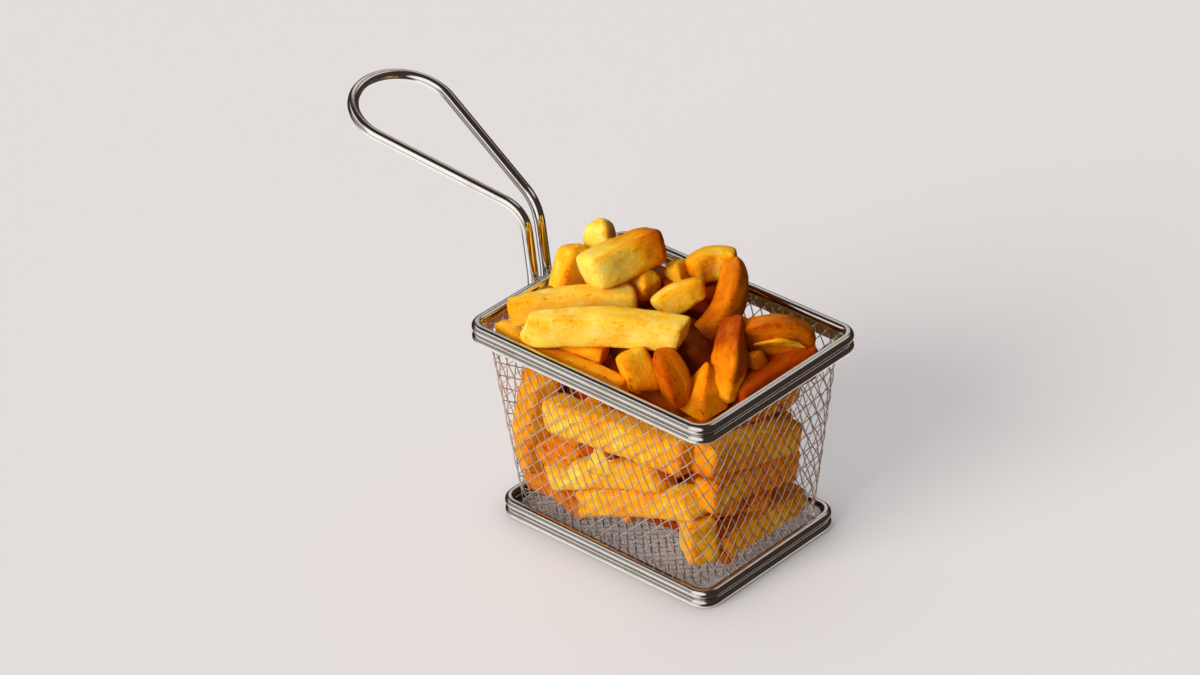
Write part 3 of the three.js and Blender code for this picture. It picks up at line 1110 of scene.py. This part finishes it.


# Their fry levels and fades are partly how far each chip is fried and partly painted shade: chips and
# chip ends that lie in shade in the heap are set browner.
TOP_CHIPS = (
    Chip(
        (-34.1, -40.2, 91.5), (19.1, -7.8, 95), (12, 13.5), PALE, (-7.9, -23.4, 95), roll=4,
        ends=(0.92, 0.97), soft=3.2, tips=(2, 0), cuts=((-0.2, 0.5), (0.1, 0.2)),
    ),
    Chip((-45.8, -35.3, 92), (-12, -0.3, 95), (10, 10.5), PALE, (-29, -17.8, 95.4), fade=-0.1),
    Chip((-27.2, -11.5, 104.5), (-18.9, 19.9, 106.5), (17, 15), GOLD, roll=-20, soft=3.8, fade=0.52),
    Chip((-44.3, 16, 110.5), (-41.6, 12.6, 66), (12, 12), PALE, roll=20, soft=4.8, tips=(6.5, 0)),
    Chip((-45.2, 4.2, 104), (-47.6, -5, 66), (14, 12.5), STRAW, roll=10, ends=(0.85, 1), tips=(6, 0)),
    Chip((-16.5, 6.5, 106), (-15.4, 7.4, 90), (10, 10), GOLD, roll=45, ends=(0.1, 1), sharp=1, fade=0.25),
    Chip((-12.5, 20.2, 100.5), (-10.6, 21.4, 84), (10, 10), GOLD, roll=10, ends=(0.8, 1), fade=0.2),
    Chip((5, 18.2, 98), (-2.6, 1.2, 92), (11, 10.5), GOLD, roll=20, ends=(0.8, 1), fade=-0.15),
    Chip((-7.2, 23.9, 95), (3.7, 39.6, 97), (9, 13), GOLD, (-3.3, 33.9, 97), fade=-0.1, tips=(3, 0)),
    Chip(
        (2.2, 38.6, 100), (8.6, -0.5, 77), (11.5, 11), BROWN, (15.3, 18.2, 91), roll=10,
        ends=(0.75, 0.9), soft=3.6, fade=0.12, tips=(5, 2),
    ),
    Chip(
        (23.6, 16.5, 92), (37.8, -7.4, 72), (12, 12), BROWN, (32.9, 0.8, 84), roll=20,
        ends=(0.55, 0.25), fade=-0.35, tips=(3, 2),
    ),
    Chip((27.8, 13.6, 84), (45.2, 34.1, 80), (10, 16), BROWN, (35.3, 23.8, 86), ends=(0.9, 0.6)),
    Chip((34.2, 10.8, 84), (38.5, 11.2, 74), (8, 8), BROWN, ends=(1, 0.4), sharp=1, fade=0.2),
    Chip(
        (29.4, -7, 86), (29, -11.1, 68), (14, 12), AMBER, roll=-4, ends=(0.15, 1.15), sharp=1,
        soft=1.6, fade=-0.1,
    ),
    Chip(
        (13.3, -16.1, 89), (22.6, -16.7, 70), (11.5, 11), BROWN, (21.9, -18.3, 82), roll=15,
        ends=(0.8, 0.75), fade=0.1, tips=(2, 2),
    ),
    Chip(
        (4.1, -24.1, 90), (12, -25, 77), (12, 12), GOLD, roll=15, ends=(0.9, 1.1), fade=0.1,
        cuts=((0, 0), (0.3, 0)),
    ),
    Chip((-31, -36.4, 82), (10.8, -32.1, 80), (6, 6), GOLD, (-10.8, -33.1, 81), soft=1.6),
    Chip((-25.2, -29.4, 84), (-6.2, -24.7, 84), (7, 7), AMBER, soft=1.6),
    Chip((-52.9, -33.3, 82), (-26, -35.6, 81.5), (6, 6), GOLD, soft=1.6),
    # The torn edge of the chip at the corner.
    Chip((34.2, 12.6, 86.6), (46.8, 28.2, 82.6), (1.8, 3.6), GOLD, roll=32, ends=(0.5, 0.3), soft=0.7),
)

# The chips under the top ones take the darkest level, which paints the shade between them.
UNDER_CHIPS = tuple(
    Chip(start, end, size, DEEP_SHADE)
    for start, end, size in (
        ((37.9, -2.5, 71), (44.4, 34.3, 75), (13, 13)),
        ((1.1, -22, 66), (24, -22, 60), (11, 11)),
        ((3.1, 1.7, 76), (19.2, 11.6, 66), (12, 11)),
        ((-17.7, 15.9, 84), (1.5, 23.2, 80), (13, 12)),
        ((-29.7, -24.9, 76), (7.9, -16.4, 70), (11, 10)),
        ((-34.1, 19.8, 86), (-16, 5.3, 80), (13, 12)),
        ((-52.5, -8.1, 82), (-21.8, -10.8, 82), (12, 12)),
        ((-33, 17.8, 90), (-9, 18.8, 89), (11, 12)),
        ((-17.5, 26, 84), (6, 32, 82), (12, 12)),
        ((-30, -4, 84), (0, -2, 82), (13, 12)),
        ((-52, 3, 82), (-29, 6, 85), (12, 12)),
    )
)

FRONT_CHIPS = (
    Chip((-33, -32, 69), (-45, -29, 21), (12, 14), GOLD),
    Chip((-30, -31, 53), (42, -32, 61), (12, 14), GOLD, fade=0.12),
    Chip((-46, -27.5, 32), (-20, -27, 30), (12, 13), AMBER, roll=12),
    Chip((-1, -33.5, 41), (-18, -8, 30), (12, 12), PALE, roll=10),
    Chip((-33, -27, 21), (26, -29, 46), (11, 12), GOLD, fade=0.1),
    Chip((-18, -27.5, 14), (43, -29.5, 41), (11, 12), GOLD),
    Chip((38, -28, 33), (39, -25, 13), (14, 13), GOLD, roll=10),
    Chip((-46, -27.5, 17), (-12, -28, 13.5), (10, 11), BROWN, roll=8),
)

SIDE_CHIPS = (
    Chip((46, -31, 62), (45, 22, 46), (12, 14), GOLD),
    Chip((45, -30, 45), (43, 22, 33), (12, 13), AMBER),
    Chip((42, -20, 15.5), (41, 28, 14), (12, 12), GOLD),
    Chip((40, -14, 30), (36, -2, 26), (11, 11), AMBER),
)


@dataclass(frozen=True)
class Room:
    """The free space inside the cloth, which no chip leaves."""

    walls: Walls = Walls()
    gap: float = 0.3

    def hold(self, point: Vector) -> Vector:
        """Returns a point moved straight in until it lies in the room."""
        depth = self.walls.thick + self.gap
        low = self.walls.floor + depth
        half_x, half_y = self.walls.halves(max(point.z, low), depth)
        radius = self.walls.corner - depth
        core_x, core_y = half_x - radius, half_y - radius
        inner = Vector((min(max(point.x, -core_x), core_x), min(max(point.y, -core_y), core_y), 0))
        out = Vector((point.x - inner.x, point.y - inner.y, 0))
        if out.length > radius:
            out *= radius / out.length
        return Vector((inner.x + out.x, inner.y + out.y, max(point.z, low)))


@dataclass
class ChipCutter:
    """Cuts and fries chips: each is a copy of one blank, shaped by its own sizes and draws.

    rings and across are the cuts along and across the blank, crowd how much closer they lie near
    its edges, and crust the height and size of each layer of fine unevenness.
    """

    room: Room = field(default_factory=Room)
    rings: int = 15
    across: int = 3
    crowd: float = 0.46
    crust: tuple[Pair, ...] = ((0.16, 3.4), (0.08, 1.5))
    blank: Piece | None = None

    def make_blank(self) -> None:
        """Models the blank, a bar with a grid of faces on every side, from -1 to 1 each way."""
        bpy.ops.mesh.primitive_cube_add(size=2)
        self.blank = active("chip_blank")
        with editing(self.blank):
            for axis, cuts in ((2, self.rings), (0, self.across), (1, self.across)):
                pick_along(self.blank, axis)
                bpy.ops.mesh.subdivide(number_cuts=cuts)
        spread = self.crowd * math.pi
        for vertex in self.blank.data.vertices:
            vertex.co = Vector([math.sin(c * spread) / math.sin(spread) for c in vertex.co])

    def drop_blank(self) -> None:
        """Removes the blank once every chip is cut."""
        bpy.data.objects.remove(self.blank)

    def cut(self, chip: Chip, seed: int, fine: int) -> Piece:
        """Cuts one chip.

        Args:
            chip: Where it lies and how it is shaped.
            seed: What its own unevenness is drawn from.
            fine: How often its faces are divided.

        Returns:
            The chip as an object of its own.
        """
        draw = random.Random(seed)
        piece = copied(self.blank, f"chip_{seed}")
        shape = ChipShape.drawn(chip, draw)
        fry, edge, flesh = [], [], []
        for vertex in piece.data.vertices:
            share = vertex.co.copy()
            local = shape.shaped(share)
            vertex.co = placed(self.room.hold(shape.stands(local)))
            fry.append(chip.fry.value + shape.tone + (chip.fade + shape.fade) * share.z)
            edge.append(shape.edged(share))
            flesh.extend((local + shape.grain) * MM)
        for name, kind, values, key in (
            ("fry", "FLOAT", fry, "value"),
            ("edge", "FLOAT", edge, "value"),
            ("flesh", "FLOAT_VECTOR", flesh, "vector"),
        ):
            piece.data.attributes.new(name, kind, "POINT").data.foreach_set(key, values)
        modified(piece, "SUBSURF", levels=fine, render_levels=fine)
        self._crisp(piece)
        smooth(piece)
        return piece

    def _crisp(self, piece: Piece) -> None:
        """Gives a chip the fine unevenness of its crust."""
        normals = [vertex.normal.copy() for vertex in piece.data.vertices]
        flesh = piece.data.attributes["flesh"].data
        for vertex, normal, local in zip(piece.data.vertices, normals, flesh):
            where = local.vector / MM
            swell = sum(height * noise.noise(where / size) for height, size in self.crust)
            vertex.co += normal * (swell * MM)

    def heap(self, name: str, chips: Iterable[Chip], seed: int, fine: int) -> Piece:
        """Returns several chips as one piece.

        Args:
            name: The piece's name.
            chips: The chips.
            seed: The first chip's seed.
            fine: How often their faces are divided.

        Returns:
            The piece.
        """
        whole = joined([self.cut(chip, seed + i, fine) for i, chip in enumerate(chips)], name)
        FRIED.dress(whole)
        return whole


@dataclass
class ChipShape:
    """The unevenness of one chip.

    lean is how far its sides lean in, pinch how hollow they are, slant how far either end is cut
    off true, wave how far its middle line strays each way and where that starts, twist how far it
    turns along its length, grain where its lumps are read from, and tone and fade its own shift in
    how far it is fried.
    """

    chip: Chip
    lean: Pair
    pinch: Pair
    slant: tuple[Pair, Pair]
    wave: tuple[float, float, float]
    twist: float
    grain: Vector
    tone: float
    fade: float

    @classmethod
    def drawn(cls, chip: Chip, draw: random.Random) -> ChipShape:
        """Returns the shape drawn for a chip.

        Args:
            chip: The chip.
            draw: The source of its random draws.

        Returns:
            Its shape.
        """

        def pair(most: float) -> Pair:
            """Returns two draws between minus most and most."""
            return draw.uniform(-most, most), draw.uniform(-most, most)

        return cls(
            chip=chip,
            lean=pair(0.10),
            pinch=(draw.uniform(-0.02, 0.07), draw.uniform(-0.02, 0.07)),
            slant=(pair(0.2), pair(0.2)),
            wave=(draw.uniform(0.1, 0.5), draw.uniform(0.1, 0.5), draw.uniform(0, 2 * math.pi)),
            twist=draw.uniform(-7, 7),
            grain=Vector([draw.uniform(-500, 500) for _ in range(3)]),
            tone=draw.uniform(-0.07, 0.07),
            fade=draw.uniform(-0.06, 0.06),
        )

    @property
    def length(self) -> float:
        """The chip's length."""
        return (Vector(self.chip.end) - Vector(self.chip.start)).length

    def stands(self, local: Vector) -> Vector:
        """Returns where a point of the straight chip stands on the bent one.

        Args:
            local: The point about the chip's middle, along Z.

        Returns:
            The point in the basket's frame.
        """
        start, end = Vector(self.chip.start), Vector(self.chip.end)
        forward = (end - start).normalized()
        side = Vector((0, 0, 1)).cross(forward).normalized()
        up = forward.cross(side)
        middle = Vector(self.chip.via) if self.chip.via else (start + end) / 2 + up * self.chip.bow
        bend = middle * 2 - (start + end) / 2
        share = local.z / self.length + 0.5
        at = start.lerp(bend, share).lerp(bend.lerp(end, share), share)
        way = (bend - start).lerp(end - bend, share)
        return at + forward.rotation_difference(way) @ (side * local.x + up * local.y)

    @staticmethod
    def edged(share: Vector) -> float:
        """Returns how near a point of the blank lies to an edge, from 0 to 1."""
        near = sorted((abs(share.x), abs(share.y), abs(share.z) ** 6), reverse=True)
        return max(0.0, near[1] - 0.55) / 0.45

    def _rounded(self, share: Vector) -> Vector:
        """Returns a point of the blank on a straight bar with rounded edges."""
        half = Vector((self.chip.size[0] / 2, self.chip.size[1] / 2, self.length / 2))
        soft = min(self.chip.soft, 0.9 * min(half))
        point = Vector(share[i] * half[i] for i in range(3))
        inner = Vector(min(max(point[i], soft - half[i]), half[i] - soft) for i in range(3))
        out = point - inner
        return inner + out * (soft / out.length) if out.length > 1e-9 else point

    def _keep(self, along: float) -> float:
        """Returns the share of its thickness that the chip keeps at a place along it.

        Args:
            along: The place, from -1 at its start to 1 at its end.

        Returns:
            The share.
        """
        last = 0 if along < 0 else 1
        keep = mixed(1, self.chip.ends[last], abs(along) ** self.chip.sharp)
        tip = self.chip.tips[last]
        spare = (1 - abs(along)) * self.length / 2
        if spare < tip:
            keep *= mixed(0.12, 1, math.sqrt(1 - (1 - spare / tip) ** 2))
        return keep

    def shaped(self, share: Vector) -> Vector:
        """Returns where a point of the blank goes on the straight chip.

        Args:
            share: The point, from -1 to 1 each way.

        Returns:
            The point in millimetres about the chip's middle, along Z.
        """
        x, y, z = self._rounded(share)
        x *= (1 + self.lean[0] * share.y) * (1 - self.pinch[0] * (1 - share.y**2))
        y *= (1 + self.lean[1] * share.x) * (1 - self.pinch[1] * (1 - share.x**2))
        along = min(max(2 * z / self.length, -1.0), 1.0)
        last = 0 if along < 0 else 1
        slant, cut = self.slant[last], self.chip.cuts[last]
        z += ((slant[0] + cut[0]) * x + (slant[1] + cut[1]) * y) * abs(along) ** 5
        keep = self._keep(along)
        turn = math.radians(self.chip.roll + self.twist * along)
        x, y = x * math.cos(turn) - y * math.sin(turn), x * math.sin(turn) + y * math.cos(turn)
        x = x * keep + self.wave[0] * math.sin(along * 2.6 + self.wave[2])
        y = y * keep + self.wave[1] * math.cos(along * 2.2 + self.wave[2])
        lump = Vector((x, y, z)) + self.grain
        swell = 0.75 * noise.noise(lump / 9) + 0.4 * noise.noise(lump / 4.5)
        outward = Vector((x, y, 0)).normalized() if abs(x) + abs(y) > 1e-6 else Vector((0, 0, 0))
        return Vector((x, y, z)) + outward * swell


@dataclass(frozen=True)
class HiddenRows:
    """Rows of chips behind a wall: two chips a row, in rows that rise by a step.

    along and across are the basket's outer sizes along and across the wall, seed and turn the
    rows' own draws and the wall's place, spare the room left at either end, first, last and step
    the rows' heights, clear how far the chips' middles lie from the wall, and play, tilt and roll
    how unevenly they lie.
    """

    along: float
    across: float
    seed: int
    spare: Pair
    turn: float
    first: float = 14.0
    last: float = 75.0
    step: float = 14.0
    clear: float = 9.0
    size: Pair = (12.0, 11.0)
    play: float = 2.0
    tilt: float = 15.0
    roll: float = 20.0

    def chips(self, walls: Walls) -> list[Chip]:
        """Returns the rows' chips, turned to their wall.

        Args:
            walls: The walls that they lie behind.

        Returns:
            The chips.
        """
        draw = lehmer(self.seed)
        turn = Matrix.Rotation(math.radians(self.turn), 3, "Z")
        fries = (GOLD, AMBER, STRAW, AMBER, GOLD, BROWN)
        chips = []
        height = self.first
        while height < self.last:
            half = self.along / 2 - walls.inset(height) - self.play
            depth = self.across / 2 - walls.inset(height) - self.clear
            ends = (self.spare[0] - half, half - self.spare[1])
            middle = (ends[0] + ends[1]) / 2 + (next(draw) - 0.5) * self.step
            for end in ends:
                tilt = (next(draw) - 0.5) * self.tilt
                inner = middle + math.copysign(self.play, end - middle)
                start = Vector((inner, next(draw) * self.play - depth, height + tilt / 2))
                stop = Vector((end, next(draw) * self.play - depth, height - tilt / 2))
                size = tuple(thick + next(draw) * self.play for thick in self.size)
                fry = fries[len(chips) % len(fries)]
                roll = next(draw) * self.roll
                chips.append(Chip(tuple(turn @ start), tuple(turn @ stop), size, fry, roll=roll))
            height += self.step
        return chips


def lehmer(seed: int) -> Iterator[float]:
    """Yields repeatable draws between 0 and 1."""
    factor, modulus = 16807, 2147483647
    state = seed
    while True:
        state = state * factor % modulus
        yield state / modulus


@dataclass
class Heap:
    """The fries, over their own dark core.

    The core's profile gives the share of its half sizes that it keeps at each height, and its
    lumps how far they stray and how large they are. The inner chips lie round it, between two
    heights.
    """

    walls: Walls = field(default_factory=Walls)
    core_half: Pair = (36.0, 23.0)
    core_profile: tuple[Pair, ...] = ((0.55, 16), (0.9, 34), (1.0, 56), (0.95, 74), (0.6, 86), (0.2, 90))
    core_lumps: Pair = (3.0, 11.0)
    inner_count: int = 40
    inner_heights: Pair = (17.0, 60.0)
    inner_half: Pair = (17.0, 24.0)
    inner_thick: Pair = (10.0, 13.0)
    inner_roll: float = 25.0
    inner_seed: int = 23

    def inner_chips(self) -> list[Chip]:
        """Returns chips that lie round the core, behind those that show first."""
        draw = random.Random(self.inner_seed)
        # Half the inner chips take the darkest level, painted shade deep in the heap.
        fries = (BROWN, DEEP_SHADE, AMBER, DEEP_SHADE)
        golden = 0.618
        chips = []
        for i in range(self.inner_count):
            turn = math.radians(360 * (i * golden % 1))
            height = mixed(*self.inner_heights, (i + 0.5) / self.inner_count)
            x, y = self.core_half[0] * math.cos(turn), self.core_half[1] * math.sin(turn)
            middle = Vector((x, y, height))
            heading = turn + math.pi / 2 + draw.uniform(-0.35, 0.35)
            way = Vector((math.cos(heading), math.sin(heading), draw.uniform(-0.45, 0.45)))
            half = way.normalized() * draw.uniform(*self.inner_half)
            size = (draw.uniform(*self.inner_thick), draw.uniform(*self.inner_thick))
            roll = draw.uniform(-self.inner_roll, self.inner_roll)
            chips.append(Chip(tuple(middle - half), tuple(middle + half), size, fries[i % 4], roll=roll))
        return chips

    def core(self) -> Piece:
        """Returns the core, a lumpy mound."""
        bpy.ops.mesh.primitive_uv_sphere_add(segments=48, ring_count=32, radius=1)
        mound = active("fries_core")
        for vertex in mound.data.vertices:
            vertex.co = placed(self._core_point(vertex.co))
        smooth(mound)
        DARK.dress(mound)
        return mound

    def _core_point(self, unit: Vector) -> Vector:
        """Returns where a point of the unit sphere goes on the core."""
        low, high = self.core_profile[0][1], self.core_profile[-1][1]
        height = mixed(low, high, (unit.z + 1) / 2)
        share = next(
            mixed(a[0], b[0], (height - a[1]) / (b[1] - a[1]))
            for a, b in zip(self.core_profile, self.core_profile[1:])
            if height <= b[1] + 1e-6
        )
        ring = Vector((unit.x, unit.y)).length
        scale = share / ring * min(1.0, ring * 3) if ring > 1e-6 else 0.0
        point = Vector((unit.x * scale * self.core_half[0], unit.y * scale * self.core_half[1], height))
        deep, size = self.core_lumps
        return point + uneven(point / size) * deep

    def build(self) -> list[Piece]:
        """Returns the core and the fries as finished pieces."""
        cutter = ChipCutter(Room(self.walls))
        cutter.make_blank()
        back = HiddenRows(self.walls.length, self.walls.width, 7, (14, 6), 180)
        left = HiddenRows(self.walls.width, self.walls.length, 12, (4, 12), -90)
        pieces = [
            self.core(),
            cutter.heap("fries_top", TOP_CHIPS, 100, 2),
            cutter.heap("fries_near_walls", FRONT_CHIPS + SIDE_CHIPS, 200, 2),
            cutter.heap("fries_far_walls", back.chips(self.walls) + left.chips(self.walls), 300, 1),
            cutter.heap("fries_inner", [*UNDER_CHIPS, *self.inner_chips()], 400, 1),
        ]
        cutter.drop_blank()
        return pieces


# ---- Camera, light and floor ----


@dataclass(frozen=True)
class Lamp:
    """A lamp that lights the basket, and that bright metal doesn't mirror.

    toward is the way to it from the place that it is aimed at, and settings what lamps of its kind
    alone have.
    """

    name: str
    kind: str
    toward: Triple
    power: float
    colour: Triple
    settings: dict[str, float]
    aim: Triple = (0.0, 0.0, 34.0)

    def build(self) -> None:
        """Makes the lamp."""
        away = Vector(self.toward)
        bpy.ops.object.light_add(type=self.kind, location=placed(self.aim) + away * MM)
        lamp = active(self.name)
        lamp.rotation_euler = away.to_track_quat("Z", "Y").to_euler()
        lamp.visible_glossy = False
        lamp.data.energy = self.power
        lamp.data.color = self.colour
        for name, value in self.settings.items():
            setattr(lamp.data, name, value)


def sun(name: str, toward: Triple, power: float, spread: float, colour: Triple) -> Lamp:
    """Returns a far lamp that looks a spread of degrees wide from the basket."""
    return Lamp(name, "SUN", toward, power, colour, {"angle": math.radians(spread)})


LAMPS = (
    sun("key_light", (-0.12, -0.88, 0.46), 3.8, 36.0, (1.0, 0.97, 0.93)),
    sun("top_light", (-0.42, 0.22, 0.88), 0.75, 60.0, (1.0, 0.96, 0.90)),
    # A small lamp fills the shaded short wall, and nothing above its rim.
    Lamp(
        "wall_light", "SPOT", (400, -120, -8), 2.3, (1.0, 0.86, 0.66),
        {"spot_size": math.radians(15), "spot_blend": 0.35, "shadow_soft_size": 0.03}, (46, 0, 34),
    ),
)


@dataclass(frozen=True)
class Studio:
    """A pale floor, soft lamps from the front and above, and a long lens that looks down.

    glow and dusk are what lights the object from around, and panel and the screens what bright
    metal mirrors.
    """

    camera_at: Triple = (1071.40, -1172.31, 1083.87)
    azimuth: float = 43.2685
    elevation: float = 32.2189
    roll: float = -2.2386
    lens: float = 150.0
    sensor: float = 36.0
    backdrop: Triple = (0.76, 0.72, 0.70)
    glow: Triple = (0.34, 0.32, 0.30)
    dusk: Triple = (0.035, 0.026, 0.022)
    panel: Triple = (1.25, 1.22, 1.18)
    screen: Triple = (0.055, 0.038, 0.030)
    dark_screen: Triple = (0.045, 0.028, 0.022)
    floor_size: float = 8.0

    def build_camera(self) -> None:
        """Makes the camera and the scene's plain view of colour."""
        azimuth, elevation = math.radians(self.azimuth), math.radians(self.elevation)
        level = math.cos(elevation)
        back = Vector((math.sin(azimuth) * level, -math.cos(azimuth) * level, math.sin(elevation)))
        right = Vector((math.cos(azimuth), math.sin(azimuth), 0))
        up = back.cross(right)
        lean = Matrix.Rotation(math.radians(self.roll), 3, back)
        turn = Matrix((lean @ right, lean @ up, back)).transposed().to_4x4()
        bpy.ops.object.camera_add()
        camera = active("camera")
        camera.data.lens = self.lens
        camera.data.sensor_width = self.sensor
        camera.data.clip_end = 100
        camera.matrix_world = Matrix.Translation(placed(self.camera_at)) @ turn
        bpy.context.scene.camera = camera
        bpy.context.scene.view_settings.view_transform = "Standard"

    def build_light(self) -> None:
        """Makes the lamps and the soft surroundings."""
        for lamp in LAMPS:
            lamp.build()
        world = bpy.data.worlds.new("studio")
        world.use_nodes = True
        bpy.context.scene.world = world
        bench = Bench(world.node_tree)
        way = bench.signal("ShaderNodeTexCoord", output="Generated")
        apart = bench.node("ShaderNodeSeparateXYZ", None, {"Vector": way})
        x, y, z = (Signal(bench, output) for output in apart.outputs)
        kinds = ("Camera", "Glossy")
        seen, mirrored = (bench.signal("ShaderNodeLightPath", output=f"Is {kind} Ray") for kind in kinds)
        around = bench.blend((x * -0.60 + y * -0.80).rise(-0.3, 0.9), self.dusk, self.glow)
        lit = bench.blend(mirrored, around, self._panels(bench, x, y, z))
        shown = bench.blend(seen, lit, self.backdrop)
        light = bench.signal("ShaderNodeBackground", None, {"Color": shown, "Strength": 1.0})
        bench.node("ShaderNodeOutputWorld", None, {"Surface": light})

    def _panels(self, bench: Bench, x: Signal, y: Signal, z: Signal) -> Signal:
        """Returns what bright metal mirrors: pale panels before dark screens.

        Args:
            bench: The bench that the nodes are made at.
            x: The direction along X.
            y: The direction along Y.
            z: The direction along Z.

        Returns:
            The colour in that direction.
        """
        front = (y * -0.97 + z * 0.20).rise(0.58, 0.76) * z.rise(-0.26, -0.02) * x.rise(-0.50, -0.25)
        facing = (x * -0.35 + y * -0.94).rise(0.55, 0.75)
        left = (x * -0.80 + y * -0.60).rise(0.68, 0.82)
        strip = left * z.rise(0.30, 0.50) * (1.0 - z.rise(0.68, 0.78))
        above = (x * -0.58 + y * 0.62 + z * 0.53).rise(0.89, 0.98)
        crest = (x * 0.17 + y * 0.62 + z * 0.77).rise(0.95, 0.985)
        low = facing * ((1.0 - z.rise(-0.52, -0.30)) * 0.55 + (1.0 - z.rise(0.0, 0.45)) * 0.32)
        below = (1.0 - z.rise(-0.72, -0.50)) * (1.0 - x.rise(-0.15, 0.35)) * 0.95
        screen = bench.blend(x.rise(-0.1, 0.5), self.dark_screen, self.screen)
        return bench.blend(front + strip + above * 0.6 + crest * 0.6 + low + below, screen, self.panel)

    def build_floor(self) -> None:
        """Makes the floor, which isn't part of the object."""
        bpy.ops.mesh.primitive_plane_add(size=self.floor_size)
        floor = active("studio_floor")
        floor.visible_diffuse = floor.visible_glossy = False
        PALE_FLOOR.dress(floor)


# ---- The whole ----


def finished(piece: Piece, nodes: Sequence[str], finish: Finish | None = None) -> None:
    """Dresses a piece and fixes it to the part.

    Args:
        piece: The piece.
        nodes: The solids that it stands for.
        finish: Its finish, where it isn't dressed yet.
    """
    if finish is not None:
        finish.dress(piece)
    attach(piece, "root")
    if nodes:
        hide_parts(*nodes)
    triangles = sum(len(face.vertices) - 2 for face in piece.data.polygons)
    LOG.info("%s: %d triangles", piece.name, triangles)


def build_basket(walls: Walls) -> None:
    """Builds the steel basket and its handle.

    Args:
        walls: The sizes of its walls.
    """
    rim = FoldedStrip("rim_strip", walls.length, walls.width, 8.0, 2.1, 4.2, (81.2, 85.4), 79.3)
    base = FoldedStrip("base_strip", 107.0, 78.0, 8.0, 2.0, 3.6, (2.0, 6.0), 0.0, lower_start=-90.0)
    finished(rim.build(), ["top_rim"], ROLLED_STEEL)
    finished(base.build(), ["base_frame"], BASE_STEEL)
    handle = Handle()
    finished(handle.build(), ["handle"], HANDLE_STEEL)
    finished(handle.welds((81.2, 85.0)), [], HANDLE_STEEL)
    cloth = WireCloth(walls)
    sides = [f"mesh_{side}" for side in ("front", "right", "back", "left")]
    finished(cloth.build_walls(), sides, CLOTH_STEEL)
    finished(cloth.build_floor(), ["mesh_floor"], CLOTH_STEEL)


def main() -> None:
    """Loads the frame and builds the pieces, the light and the camera round it."""
    logging.basicConfig(level=logging.INFO, format="%(message)s")
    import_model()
    bpy.ops.object.select_all(action="DESELECT")
    studio = Studio()
    studio.build_camera()
    walls = Walls()
    build_basket(walls)
    for piece in Heap(walls).build():
        finished(piece, ["fries_heap"])
    studio.build_floor()
    studio.build_light()


if __name__ == "__main__":
    main()
